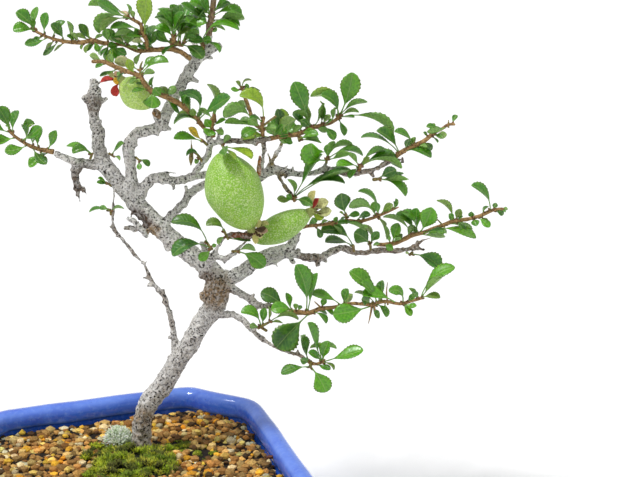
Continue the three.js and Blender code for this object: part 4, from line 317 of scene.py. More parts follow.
    "leafy_shoot_left": """
    -45 147.6 -14.6 1.5, -52 149 -16 1.3, -60 153 -17 1, -66 158 -17 0.7 | -47 147.8 -43 158 4.6 -1 3 +m,
    -49 148.2 -56 140 4.6 1 4 +b, -51 148.8 -50 160 5 1 -4 +m, -54 150 -47 141 4.6 -1 7 +m,
    -56 151 -68 148 4.6 1 5 +b, -58 152 -57 164 5 -1 3 +m, -60 153 -51 160 4.6 -1 9 +m,
    -62 154.5 -74 153 4.6 0.5 3 +b, -64 156 -61 168 5 1 -4 +m, -66 158 -77 163 5 1 2 +m,
    -66 158 -71 170 5 -0.5 4 +m
    """,
    "leaf_cluster_left": """
    -24.6 145.2 -9.5 0.8, -24 146.6 -8.5 0.7 | -24.2 146 -34 146.6 4 -2.4 3 +m,
    -24.3 146.2 -37 150.5 3.6 -1 -3 +b
    """,
    "leaf_cluster_limb_low": """
    -15.6 131 -7.6 0.7, -16.6 131.8 -7 0.6 | -15.8 131.2 -21.9 132 2.4 -0.3 3 +m,
    -16 131.6 -21.2 134.4 1.4 0 3 +b
    """,
    "leaf_cluster_limb_fork": """
    -14.6 145.8 -9 0.7, -13.4 145 -8.5 0.6 | -14.4 145.8 -8.8 152 2.6 0.5 8 +m,
    -13.6 145 -9.6 143.4 2 0.4 8 -b
    """,
    "leaf_cluster_inner": """
    -1.5 143.8 -2.6 0.7, -0.6 143 -2 0.6 | -1.2 143.6 4.6 140.2 2.8 0.8 2 +m, -0.8 143 -0.5 138.4 2.6 0 4 +b
    """,
    "leaf_cluster_sucker": """
    -15 117.3 -4 0.7, -15.2 118.6 -3.5 0.6 | -15.2 118 -25.7 117.2 2.8 -1.4 3 +m,
    -15.2 118.3 -20.5 119.8 2.6 0 -2 +b, -15 117.6 -8 119.6 1.6 1 6 -m
    """,
    "leaf_cluster_back_top": """
    22.4 207.8 -32.6 1, 20 211 -37 0.8 | 22 208.3 30 216 5 1 -4 +m, 21 209.5 12 216 5 -1 -5 +b,
    20 211 24 221 5 0 -6 +m, 20 211 15 221 5 0 2 +m, 21 209.5 11 208 4.6 0 -8 +b,
    21 209.8 30 207 4.6 0 -9 +m, 20 211 20 217 4.6 0 -12 +m
    """,
    "leaf_cluster_back_right": """
    70.4 151 -34 1, 71.5 154.5 -38 0.8 | 70.8 152.5 63 159 4.6 -1 -4 +m, 71.3 154 78 161 4.8 1 -3 +b,
    71.5 154.5 70 166 5 0 -5 +m, 71.5 154.5 66 164 4.6 0 4 +m, 71 153.5 80 157 4.4 0.5 -9 +b,
    71.5 154.5 74 164 4.6 0 -12 +m
    """,
}

# The fruits, by CAD node: stalk end and blossom end, greatest radius, where it is, how blunt each end is.
FRUITS = {
    "fruit_large": ((39, 146.6, 15), (55.4, 108.8, 18), 13.2, 0.47, (0.6, 0.52)),
    "fruit_small": ((56.8, 102.6, 4), (85.4, 117.4, 4), 6.9, 0.48, (0.55, 0.62)),
    "fruit_left": ((5.8, 169.8, 5), (-9.8, 183.4, 5), 7.2, 0.5, (0.6, 0.6)),
}

# What is left of each flower, as leaf rows from the blossom end.
SEPALS = {
    "fruit_large": """
    55.5 109.4 60.4 112.8 4 0 4 +c, 55.8 108.8 64.2 111 3.2 0.5 5 +c, 56 108.6 63.6 107.9 3 -0.4 6 +p,
    56 108.4 62.6 109.2 3.4 0 6 +k, 56 108 61.4 106 4 0 5 +k, 56.4 107.8 60.6 104.4 2.6 0 6 +c,
    55.8 107.6 57.4 101.2 2.8 0.3 6 +c, 55.2 108.2 54.4 104.8 2.6 0 4 +k
    """,
    "fruit_small": """
    85.3 117.4 86.7 128 3.6 0.6 2 +c, 85.3 117.4 94 122.4 5 1 3 +c, 85.3 117.2 95.6 117.9 5 -0.6 4 +c,
    85.3 117 91.8 114.4 3.6 -0.6 4 +y, 85.3 117.4 90 124 3.4 0 -3 -p, 85.4 117.6 88.6 124 2.6 0 4 +r
    """,
    "fruit_left": """
    -9.5 183 -20.4 182.4 4 -0.6 1 +r, -9.6 182.6 -19 184 1.8 0 -2 +r, -9.8 182.2 -11.8 175 4.2 -1.8 2 +r,
    -9.6 183 -13.6 182.6 3.6 0 3 +g, -10 184.4 -13 187.5 2.4 0 2 +p, -10.5 184 -16.5 187.6 2.6 0.6 2 +c
    """,
}

# The material slots of a piece: its blades or skin, and its twigs or dry remains.
MAIN_SLOT = 0
SIDE_SLOT = 1

WHITE = (1.0, 1.0, 1.0, 1.0)


def farness(v, d):
    """How far off a point of the sight frame is, as a share of the aim's distance."""
    return 1.0 - (d + LEAN * v) / DISTANCE


def spot(u, v, d=0.0):
    """The place in metres of a point of the sight frame."""
    far = farness(v, d)
    place = OBSERVER + LOOK * (DISTANCE * far) + ACROSS * ((u - AIM_U) * far) + UPWARD * ((v - AIM_V) * far)
    return FOOT + place * MM


def sight(place):
    """The sight frame's u and v of a place in metres."""
    offset = (place - FOOT) / MM - OBSERVER
    far = offset.dot(LOOK) / DISTANCE
    return offset.dot(ACROSS) / far + AIM_U, offset.dot(UPWARD) / far + AIM_V


def ground(x, y, z=0.0):
    """The place in metres of a point given in millimetres from the trunk's foot."""
    return FOOT + Vector((x, y, z)) * MM


def linear(code):
    """An sRGB hex colour as linear red, green, blue and alpha."""
    shares = [int(code[i:i + 2], 16) / 255.0 for i in (1, 3, 5)]
    return [s / 12.92 if s <= 0.04045 else ((s + 0.055) / 1.055) ** 2.4 for s in shares] + [1.0]


def blended(first, second, share):
    """A colour that share of the way from the first to the second."""
    return [a + (b - a) * share for a, b in zip(first, second)]


def varied(colour, rng, spread):
    """A colour made a little lighter or darker, and half as much warmer or cooler."""
    light = 1.0 + rng.uniform(-spread, spread)
    warm = 1.0 + rng.uniform(-spread, spread) * 0.5
    return [colour[0] * light * warm, colour[1] * light, colour[2] * light / warm, 1.0]


def jitter(rng, reach):
    """A random step of up to reach along each axis."""
    return Vector([rng.uniform(-reach, reach) for _ in range(3)])


def strewn(rng, spread):
    """A random place in a round patch: how far out it is, up to the spread, and in which direction."""
    return spread * math.sqrt(rng.random()), rng.uniform(0, 2 * math.pi)


def crosswise(axis):
    """Two directions square to an axis and to each other."""
    side = axis.orthogonal().normalized()
    return side, axis.cross(side)


def circle(side, other, count):
    """Angles and directions all round."""
    for k in range(count):
        angle = 2 * math.pi * k / count
        yield angle, side * math.cos(angle) + other * math.sin(angle)


class Shape:
    """Points and faces of one mesh, with a colour and a chart position for each point."""

    def __init__(self):
        self.points = []
        self.faces = []
        self.slots = []
        self.tints = []
        self.charts = []

    def point(self, place, tint, chart=(0.0, 0.0, 0.0)):
        self.points.append(place)
        self.tints.append(tint)
        self.charts.append(chart)
        return len(self.points) - 1

    def face(self, corners, slot=MAIN_SLOT):
        self.faces.append(corners)
        self.slots.append(slot)

    def rings(self, loops, slot=MAIN_SLOT):
        """Joins loops of equally many points, and closes both ends."""
        for low, high in zip(loops, loops[1:]):
            for i, corner in enumerate(low):
                after = (i + 1) % len(low)
                self.face((corner, low[after], high[after], high[i]), slot)
        self.face(tuple(reversed(loops[0])), slot)
        self.face(tuple(loops[-1]), slot)

    def build(self, name, materials, smooth=True):
        """The shape as a piece that rides on the bonsai's body."""
        mesh = bpy.data.meshes.new(name)
        mesh.from_pydata(self.points, [], self.faces)
        for material in materials:
            mesh.materials.append(material)
        mesh.polygons.foreach_set("material_index", self.slots)
        mesh.polygons.foreach_set("use_smooth", [smooth] * len(self.faces))
        tints = mesh.attributes.new("tint", "FLOAT_COLOR", "POINT")
        tints.data.foreach_set("color", [share for tint in self.tints for share in tint])
        charts = mesh.attributes.new("chart", "FLOAT_VECTOR", "POINT")
        charts.data.foreach_set("vector", [step for chart in self.charts for step in chart])
        mesh.update()
        piece = bpy.data.objects.new(name, mesh)
        bpy.context.scene.collection.objects.link(piece)
        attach(piece, "root")
        return piece


def flowing(points, step):
    """A smooth run through points of four numbers, as places and radii about one step apart."""
    places = [spot(*point[:3]) for point in points]
    radii = [point[3] * farness(point[1], point[2]) * MM for point in points]
    run = []
    for i in range(len(places) - 1):
        a, d = places[max(i - 1, 0)], places[min(i + 2, len(places) - 1)]
        b, c = places[i], places[i + 1]
        count = max(1, round((c - b).length / step))
        for k in range(count):
            t = k / count
            place = 0.5 * (
                2 * b + (c - a) * t + (2 * a - 5 * b + 4 * c - d) * t * t + (3 * b - a - 3 * c + d) * t ** 3
            )
            run.append((place, radii[i] + (radii[i + 1] - radii[i]) * t))
    run.append((places[-1], radii[-1]))
    return run


def thread(root, reach, long, bend, marks):
    """A short bent run from a root, from marks of how far along and how thick in millimetres it is."""
    return [
        (root + reach * (share * long * MM) + bend * (share * share), radius * MM) for share, radius in marks
    ]


# A tube's skin: lumps in metres, variation of colour, and how far the tip is drawn in and out.
SKIN_LUMP = 2.2 * MM
SKIN_SPREAD = 0.06
TIP_DRAW = 0.6


def tube(shape, run, sides, tint, slot=MAIN_SLOT, rough=0.0, rng=None):
    """A round tube along a run, with a rounded far end and an uneven skin."""
    loops = []
    side = None
    travelled = 0.0
    for i, (place, radius) in enumerate(run):
        before = run[max(i - 1, 0)][0]
        along = (run[min(i + 1, len(run) - 1)][0] - before).normalized()
        if side is None:
            side = along.orthogonal().normalized()
        side = (side - along * side.dot(along)).normalized()
        travelled += (place - before).length
        loop = []
        for angle, out in circle(side, along.cross(side), sides):
            swell = 1.0 + rough * noise.noise((place + out * radius) / SKIN_LUMP)
            spread = varied(tint, rng, SKIN_SPREAD) if rng else tint
            loop.append(shape.point(place + out * radius * swell, spread, (angle, travelled / MM, 0.0)))
        loops.append(loop)
    tip, radius = run[-1]
    along = (tip - run[-2][0]).normalized()
    crown = [
        shape.point(tip + (Vector(shape.points[k]) - tip) * TIP_DRAW + along * radius * TIP_DRAW, tint)
        for k in loops[-1]
    ]
    shape.rings(loops + [crown], slot)


# A bud's rings and sides, how low it is widest, how blunt it is, and how much of it is sunk in the twig.
BUD_RINGS = 6
BUD_SIDES = 6
BUD_WIDEST = 0.75
BUD_BLUNT = 0.7
BUD_SUNK = 0.25


def bud(shape, place, axis, length, radius, tint):
    """A bud or a stamen's tip: a small turned body."""
    axis = axis.normalized()
    side, other = crosswise(axis)
    loops = []
    for i in range(BUD_RINGS):
        t = (i + 0.5) / BUD_RINGS
        wide = radius * math.sin(math.pi * t ** BUD_WIDEST) ** BUD_BLUNT
        centre = place + axis * (length * (t - BUD_SUNK))
        loops.append([shape.point(centre + out * wide, tint) for _, out in circle(side, other, BUD_SIDES)])
    shape.rings(loops, SIDE_SLOT)


# No leaf grows from beyond this share of the last stretch of a stem.
STEM_END = 0.8


def nearest_on(stems, u, v):
    """The point of the stems that is nearest to u, v as it is seen, short of a stem's end."""
    best = None
    for stem in stems:
        for i, (a, b) in enumerate(zip(stem, stem[1:])):
            length2 = (b[0] - a[0]) ** 2 + (b[1] - a[1]) ** 2
            t = ((u - a[0]) * (b[0] - a[0]) + (v - a[1]) * (b[1] - a[1])) / length2
            t = min(max(t, 0.0), STEM_END if i + 2 == len(stem) else 1.0)
            point = [x + (y - x) * t for x, y in zip(a, b)]
            far = math.hypot(point[0] - u, point[1] - v)
            if best is None or far < best[0]:
                best = (far, point)
    return best[1][:3]


# A leaf's colours: how much they vary, and how pale its underside and its edge are.
LEAF_SPREAD = 0.16
UNDERSIDE_SHARE = 0.5
EDGE_SHARE = 0.25
# Its width as a share of its length, which falls for each millimetre of a long leaf, down to the slimmest.
LEAF_WIDTH = 0.5
LONG_LEAF = 14.0
SLIMMER_BY = 0.012
SLIMMEST = 0.36
# Its half width as a share of its width, the shift of its widest place to the tip, how narrow its ends are,
# and how blunt it is below and above its shoulder.
LEAF_FULLNESS = 0.54
TIPWARD = 1.55
NARROWEST = 0.04
SHOULDER = 0.64
BLUNT_BELOW, BLUNT_ABOVE = 0.88, 0.58
# Its stalk as a share of its length: for a leaf of this length in millimetres, and more for a longer one.
STALK_SHARE = 0.16
STALK_LEAF = 9.0
STALK_MORE = 0.006
STALK_LEAST, STALK_MOST = 0.1, 0.3
STALK_RADIUS = 0.34 * MM
STALK_DEPTH = 1.6
# Its bends: belly to the viewer, turn about its length, fold along the midrib, curl of the tip and tilt.
LEAF_BELLY = 0.1
LEAF_TWIST = 0.12
LEAF_FOLD = (0.16, 0.55)
LEAF_CURL = (-0.02, 0.09)
LEAF_TILT = 0.14
# Its sections from edge to edge and from stalk to tip, and its thickness, thinner to the edge.
LEAF_COLUMNS = (-1.0, -0.68, -0.34, 0.0, 0.34, 0.68, 1.0)
LEAF_STATIONS = 20
LAST_STATION = 0.994
LEAF_THICKNESS = 0.28 * MM
THINNER_AT_EDGE = 0.6
# Its saw teeth, as a share of its width, which grow over the first part of the blade.
LEAF_TEETH = 0.055
TEETH_GROWTH = 2.2
# Its veins: how far apart they are and how much they slant, how far the blade puckers between them, from
# how far up, in a leaf at least so wide, and how deep the midrib lies.
VEIN_SPACING = 2.1 * MM
VEIN_SLANT = 0.85
PUCKER = 0.16 * MM
PUCKER_FROM = 0.1
PUCKERED_WIDTH = 2 * MM
GROOVE = 0.16 * MM


def leaf_half_width(x, half, tooth):
    """Half the width of a leaf at x of its blade, or of its stalk where x is not above 0."""
    if x <= 0:
        return STALK_RADIUS
    blunt = BLUNT_BELOW if x < SHOULDER else BLUNT_ABOVE
    wide = half * max(NARROWEST, math.sin(math.pi * x ** TIPWARD)) ** blunt
    wide = max(wide, STALK_RADIUS * (1 - x))
    return wide * (1.0 + tooth * min(1.0, TEETH_GROWTH * x))


def leaf_section(shape, place, side, normal, wide, along, x, bends, tints):
    """The points across a leaf at x of its blade, of its upper and of its lower face."""
    fold, tilt = bends
    top, under = tints
    thick = LEAF_THICKNESS if x > 0 else STALK_RADIUS * STALK_DEPTH
    upper, lower = [], []
    for column in LEAF_COLUMNS:
        share = abs(column)
        sideways = column * wide
        pucker = 0.0
        if x > PUCKER_FROM:
            vein = (along - VEIN_SLANT * abs(sideways)) / VEIN_SPACING
            pucker = PUCKER * math.sin(2 * math.pi * vein) * share * (1 - share) * 4
        groove = GROOVE if column == 0.0 and x > 0 else 0.0
        rise = fold * abs(sideways) * (1 if x > 0 else 0) + pucker * min(1.0, wide / PUCKERED_WIDTH) - groove
        rise += tilt * sideways
        centre = place + side * sideways + normal * rise
        chart = (sideways / MM, along / MM, 1.0)
        if share == 1.0:
            upper.append(shape.point(centre, blended(top, under, EDGE_SHARE), chart))
            lower.append(upper[-1])
            continue
        depth = thick / 2 * (1 - share * share * THINNER_AT_EDGE)
        upper.append(shape.point(centre + normal * depth, top, chart))
        lower.append(shape.point(centre - normal * depth, under, (chart[0], chart[1], 0.0)))
    return upper, lower


def leaf_faces(shape, uppers, lowers, slot):
    """The two faces of a leaf from its sections, closed at the foot and at the tip."""
    for sheets, flipped in ((uppers, False), (lowers, True)):
        for near, beyond in zip(sheets, sheets[1:]):
            for k in range(len(LEAF_COLUMNS) - 1):
                corners = (near[k], beyond[k], beyond[k + 1], near[k + 1])
                shape.face(corners[::-1] if flipped else corners, slot)
    for upper, lower, flipped in ((uppers[0], lowers[0], False), (uppers[-1], lowers[-1], True)):
        rim = upper + lower[-2:0:-1]
        shape.face(tuple(reversed(rim)) if flipped else tuple(rim), slot)


def leaf(shape, foot, row, code, rng, slot=MAIN_SLOT, stations=LEAF_STATIONS, teeth=LEAF_TEETH):
    """One leaf from its foot to its tip, with stalk, keel, veins, saw-toothed edge and two faces."""
    tip_u, tip_v, seen, bow, nearer = row[2:7]
    side_seen = 1.0 if code[0] == "+" else -1.0
    top = varied(linear(TINTS[code[1]]), rng, LEAF_SPREAD)
    under = blended(top, linear(UNDERSIDE), UNDERSIDE_SHARE)
    foot_u, foot_v, foot_d = foot
    run = math.hypot(tip_u - foot_u, tip_v - foot_v)
    middle = (
        (foot_u + tip_u) / 2 - 2 * bow * (tip_v - foot_v) / run,
        (foot_v + tip_v) / 2 + 2 * bow * (tip_u - foot_u) / run,
        foot_d + nearer / 2 + LEAF_BELLY * run * side_seen,
    )
    a, b, c = spot(*foot), spot(*middle), spot(tip_u, tip_v, foot_d + nearer)
    length = (b - a).length + (c - b).length
    # A leaf that is seen narrower than one of its length grows is turned about its length.
    far = farness(foot_v, foot_d)
    grown = max(seen, max(SLIMMEST, LEAF_WIDTH - SLIMMER_BY * max(0.0, run - LONG_LEAF)) * run) * far
    turn = math.acos(min(1.0, seen * far / grown)) + rng.uniform(-LEAF_TWIST, LEAF_TWIST)
    half = grown * MM * LEAF_FULLNESS
    stalk = min(STALK_MOST, max(STALK_LEAST, STALK_SHARE + (run - STALK_LEAF) * STALK_MORE))
    fold = rng.uniform(*LEAF_FOLD)
    curl = rng.uniform(*LEAF_CURL) * length
    tilt = rng.uniform(-LEAF_TILT, LEAF_TILT)
    marks = [0.0, stalk * 0.5, stalk * 0.9]
    marks += [stalk + (1 - stalk) * (i + 0.6) / stations for i in range(stations - 1)] + [LAST_STATION]
    uppers, lowers = [], []
    for i, t in enumerate(marks):
        place = a * (1 - t) ** 2 + b * (2 * t * (1 - t)) + c * t * t
        along = ((b - a) * (1 - t) + (c - b) * t).normalized()
        viewer = -LOOK
        viewer = (viewer - along * viewer.dot(along)).normalized()
        sky = viewer.cross(along).normalized()
        if sky.dot(UPWARD) < 0:
            sky = -sky
        normal = viewer * (side_seen * math.cos(turn)) + sky * math.sin(turn)
        x = (t - stalk) / (1 - stalk)
        wide = leaf_half_width(x, half, teeth if i % 2 else -teeth)
        place = place - normal * (curl * max(0.0, x) ** 2)
        upper, lower = leaf_section(
            shape, place, along.cross(normal), normal, wide, t * length, x, (fold, tilt), (top, under),
        )
        uppers.append(upper)
        lowers.append(lower)
    leaf_faces(shape, uppers, lowers, slot)


def rows_of(text):
    """Leaf rows from text, each as its numbers and its code."""
    for item in text.split(","):
        words = item.split()
        yield [float(word) for word in words[:7]], words[7]


def stems_of(text):
    """Stems from text, each a list of points of four numbers."""
    return [[[float(word) for word in item.split()] for item in part.split(",")] for part in text.split(";")]


# The mix node's sockets for colours.
FACTOR, FIRST, SECOND, MIXED = 0, 6, 7, 2


def add_node(tree, kind, inputs=None, output=0, **settings):
    """Adds a node, sets its settings, links or sets its inputs, and hands back one of its outputs."""
    made = tree.nodes.new(kind)
    for key, value in settings.items():
        setattr(made, key, value)
    for key, value in (inputs or {}).items():
        if isinstance(value, bpy.types.NodeSocket):
            tree.links.new(value, made.inputs[key])
        else:
            made.inputs[key].default_value = value
    return made.outputs[output] if made.outputs else None


def new_material(name):
    """An empty material, its tree, the place on the object in millimetres, and the colour of its points."""
    material = bpy.data.materials.new(name)
    material.use_nodes = True
    tree = material.node_tree
    tree.nodes.clear()
    place = add_node(tree, "ShaderNodeTexCoord", output="Object")
    place = add_node(tree, "ShaderNodeVectorMath", {"Vector": place, "Scale": 1.0 / MM}, operation="SCALE")
    tint = add_node(tree, "ShaderNodeAttribute", output="Color", attribute_name="tint")
    return material, tree, place, tint


def patched(tree, place, colour, code, size, low, high, share=1.0, detail=3.0):
    """Lays a colour over another in cloudy patches of a size in millimetres, between two levels of noise."""
    cloud = {"Vector": place, "Scale": 1.0 / size, "Detail": detail, "Roughness": 0.62}
    cover = add_node(tree, "ShaderNodeTexNoise", cloud)
    levels = {"Value": cover, "From Min": low, "From Max": high, "To Max": share}
    cover = add_node(tree, "ShaderNodeMapRange", levels)
    layers = {FACTOR: cover, FIRST: colour, SECOND: linear(code)}
    return add_node(tree, "ShaderNodeMix", layers, MIXED, data_type="RGBA"), cover


def finish_material(tree, colour, roughness, height=None, depth=0.1, **settings):
    """Ends a material in one Principled shader, with its relief in millimetres."""
    inputs = {"Base Color": colour, "Roughness": roughness}
    inputs.update({key.replace("_", " "): value for key, value in settings.items()})
    if height is not None:
        inputs["Normal"] = add_node(tree, "ShaderNodeBump", {"Height": height, "Distance": depth * MM})
    shader = add_node(tree, "ShaderNodeBsdfPrincipled", inputs)
    add_node(tree, "ShaderNodeOutputMaterial", {"Surface": shader})


def bark_material(name, dark, pale, fleck, fleck_size, roughness):
    """Quince bark, grown and then greyed by weather: dry and dull, with nothing to reflect.

    It wears pale in patches, and on the old wood its high spots are lighter by painted light in the points'
    colours. Its pores and cracks hold black dirt, here crowded and there far apart, so the eye sees a fine
    black dotting on cloudy grey; on young wood the same on brown.
    """
    material, tree, place, tint = new_material(name)
    colour, clouds = patched(tree, place, tint, dark, size=2.8, low=0.56, high=0.34, share=0.5, detail=5.0)
    colour, _ = patched(tree, place, colour, pale, size=1.6, low=0.48, high=0.6, share=0.36)
    crowd = add_node(tree, "ShaderNodeTexNoise", {"Vector": place, "Scale": 1.0 / 6.0, "Detail": 2.0})
    levels = {"Value": crowd, "From Min": 0.36, "From Max": 0.56, "To Min": 0.45, "To Max": 0.98}
    crowd = add_node(tree, "ShaderNodeMapRange", levels)
    # The pores are 0.2 to 0.5 mm wide in life, too fine for the picture, and are drawn twice as coarse.
    colour, flecks = patched(tree, place, colour, fleck, fleck_size, low=0.548, high=0.58, share=crowd)
    colour, _ = patched(
        tree, place, colour, fleck, fleck_size / 2, low=0.6, high=0.64, share=0.7, detail=2.0,
    )
    height = add_node(tree, "ShaderNodeMath", {0: clouds, 1: flecks}, operation="ADD")
    height = add_node(tree, "ShaderNodeMath", {0: 1.0, 1: height}, operation="SUBTRACT")
    finish_material(tree, colour, roughness, height, depth=0.45)
    return material


# The drawn side veins of a leaf: half their spacing, the size of its skin's grain, and from where on a vein
# begins, in millimetres.
VEIN_HALF = 1.05
GRAINING = 1.0 / 2.8
VEIN_EDGE = 0.88


def leaf_material():
    """Quince leaf, a living blade under wax: glossy above, dull and paler below, lit through where thin.

    A pale midrib and slanted veins draw lines on it, and the blade between them is softly quilted.
    """
    material, tree, place, tint = new_material("leaf_blade")
    chart = add_node(tree, "ShaderNodeAttribute", output="Vector", attribute_name="chart")
    across, along, above = (add_node(tree, "ShaderNodeSeparateXYZ", {0: chart}, axis) for axis in range(3))
    aside = add_node(tree, "ShaderNodeMath", {0: across}, operation="ABSOLUTE")
    # A midrib 0.25 mm wide and hair-thin veins wouldn't show, so both are drawn two to three times as wide.
    levels = {"Value": aside, "From Min": 0.12, "From Max": 0.34, "To Min": 1.0, "To Max": 0.0}
    midrib = add_node(tree, "ShaderNodeMapRange", levels)
    slant = {0: aside, 1: -VEIN_SLANT, 2: along}
    slanted = add_node(tree, "ShaderNodeMath", slant, operation="MULTIPLY_ADD")
    turns = add_node(tree, "ShaderNodeMath", {0: slanted, 1: VEIN_HALF}, operation="PINGPONG")
    levels = {"Value": turns, "From Min": VEIN_EDGE, "From Max": VEIN_HALF, "To Max": 0.5}
    veins = add_node(tree, "ShaderNodeMapRange", levels)
    lines = add_node(tree, "ShaderNodeMath", {0: midrib, 1: veins}, operation="MAXIMUM")
    # The real mottling has cells of 0.3 mm; the picture shows it at 1 mm.
    colour, _ = patched(tree, place, tint, "#7db021", size=3.5, low=0.35, high=0.7, share=0.35)
    colour, _ = patched(tree, place, colour, "#1d4a08", size=1.0, low=0.55, high=0.42, share=0.36)
    pale = add_node(tree, "ShaderNodeMath", {0: lines, 1: 0.36}, operation="MULTIPLY")
    layers = {FACTOR: pale, FIRST: colour, SECOND: linear("#a9c76c")}
    colour = add_node(tree, "ShaderNodeMix", layers, MIXED, data_type="RGBA")
    # The skin between the veins is grained at 0.36 mm, about the mesh of a leaf's finest veins.
    quilting = add_node(tree, "ShaderNodeTexNoise", {"Vector": place, "Scale": 1.0 / GRAINING})
    height = add_node(tree, "ShaderNodeMath", {0: lines, 1: -2.5, 2: quilting}, operation="MULTIPLY_ADD")
    rough = add_node(tree, "ShaderNodeMapRange", {"Value": above, "To Min": 0.6, "To Max": 0.32})
    finish_material(
        tree, colour, rough, height, depth=0.035,
        Subsurface_Weight=0.2, Subsurface_Radius=(0.6, 1.0, 0.2), Subsurface_Scale=0.9 * MM,
        Coat_Weight=0.35, Coat_Roughness=0.26,
    )
    return material


def fruit_material():
    """Quince skin, grown green and waxy: a satin shine, thickly sprinkled with pale corky pores.

    The pores stand a little proud, with darker green between them, so the fruit looks finely netted.
    """
    material, tree, place, tint = new_material("fruit_skin")
    colour, _ = patched(tree, place, tint, "#a6cf4c", size=9.0, low=0.35, high=0.7, share=0.6)
    colour, _ = patched(tree, place, colour, "#5f9427", size=1.0, low=0.54, high=0.4, share=0.45)
    # The pores measure 0.2 to 0.3 mm in life; they are drawn at 0.6 mm, the finest that the picture shows.
    colour, pores = patched(
        tree, place, colour, "#dcebb0", size=0.62, low=0.52, high=0.58, share=0.66, detail=2.0,
    )
    finish_material(
        tree, colour, 0.42, pores, depth=0.1,
        Subsurface_Weight=0.12, Subsurface_Radius=(0.8, 1.0, 0.3), Subsurface_Scale=1.6 * MM,
    )
    return material


def glaze_material():
    """Cobalt-blue glazed stoneware, fired: a deep glassy shine over slightly uneven clay.

    The glaze ran while it melted, so it is thin and pale on edges and pools darker, with a few pits.
    """
    material, tree, place, tint = new_material("cobalt_glaze")
    colour, _ = patched(tree, place, tint, "#1c49cc", size=14.0, low=0.4, high=0.7, share=0.45)
    colour, streaks = patched(
        tree, place, colour, "#86a8f2", size=2.2, low=0.5, high=0.72, share=0.32, detail=4.0,
    )
    # Pinholes of 0.1 mm, one to every 5 mm or so, drawn three times as wide so that some show.
    cells = add_node(tree, "ShaderNodeTexVoronoi", {"Vector": place, "Scale": 1.0 / 5.2})
    levels = {"Value": cells, "From Min": 0.03, "From Max": 0.06, "To Min": 0.5, "To Max": 0.0}
    pits = add_node(tree, "ShaderNodeMapRange", levels)
    layers = {FACTOR: pits, FIRST: colour, SECOND: linear("#23356f")}
    colour = add_node(tree, "ShaderNodeMix", layers, MIXED, data_type="RGBA")
    waves = add_node(tree, "ShaderNodeTexNoise", {"Vector": place, "Scale": 1.0 / 7.0})
    height = add_node(tree, "ShaderNodeMath", {0: waves, 1: pits}, operation="SUBTRACT")
    levels = {"Value": streaks, "From Max": 0.32, "To Min": 0.1, "To Max": 0.2}
    rough = add_node(tree, "ShaderNodeMapRange", levels)
    finish_material(tree, colour, rough, height, depth=0.4, Coat_Weight=0.35, Coat_Roughness=0.06)
    return material


def plain_material(name, code, roughness, size, depth, dark, metallic=0.0):
    """A finish of one colour, or of its points' colours, clouded darker at one size in millimetres."""
    material, tree, place, tint = new_material(name)
    shade, clouds = patched(tree, place, WHITE, dark, size, low=0.62, high=0.34, detail=4.0)
    layers = {FACTOR: 1.0, FIRST: linear(code) if code else tint, SECOND: shade}
    colour = add_node(tree, "ShaderNodeMix", layers, MIXED, data_type="RGBA", blend_type="MULTIPLY")
    height = add_node(tree, "ShaderNodeMath", {0: 1.0, 1: clouds}, operation="SUBTRACT")
    finish_material(tree, colour, roughness, height, depth, Metallic=metallic)
    return material


def refinish(node, material):
    """Gives a CAD node that is carried over a finish of its own."""
    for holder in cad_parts[node].material_slots:
        holder.material = material


class BonsaiTreeSettings(bpy.types.PropertyGroup):
    """Sizes and colours of the tree."""

    seed: bpy.props.IntProperty(name="Seed", description="Start of the tree's random draws", default=7)
    bark_cell: bpy.props.FloatProperty(
        name="Bark cell", description="Grid size that the wood is remeshed at",
        default=0.6 * MM, unit="LENGTH", precision=5,
    )
    bark_growth: bpy.props.FloatProperty(
        name="Bark growth", description="How far the bark stands out of the CAD wood",
        default=0.05 * MM, unit="LENGTH", precision=5,
    )
    bark_colour: bpy.props.FloatVectorProperty(
        name="Bark", description="Weathered bark", subtype="COLOR", size=4, default=linear("#dad7d2"),
        min=0, max=1,
    )
    fruit_colour: bpy.props.FloatVectorProperty(
        name="Fruit", description="Unripe fruit", subtype="COLOR", size=4, default=linear("#8cc136"),
        min=0, max=1,
    )


class BonsaiGroundSettings(bpy.types.PropertyGroup):
    """Sizes and colours of the pot and what is in it."""

    grain_size: bpy.props.FloatProperty(
        name="Grain", description="Mean width of a soil grain", default=3.2 * MM, unit="LENGTH", precision=5,
    )
    moss_shoots: bpy.props.IntProperty(
        name="Moss shoots", description="Shoots on all the moss", default=5200,
    )
    glaze_colour: bpy.props.FloatVectorProperty(
        name="Glaze", description="Pot glaze", subtype="COLOR", size=4, default=linear("#2f68e0"),
        min=0, max=1,
    )
    lip_colour: bpy.props.FloatVectorProperty(
        name="Lip", description="Thin glaze on the lip", subtype="COLOR", size=4, default=linear("#7c9ff4"),
        min=0, max=1,
    )


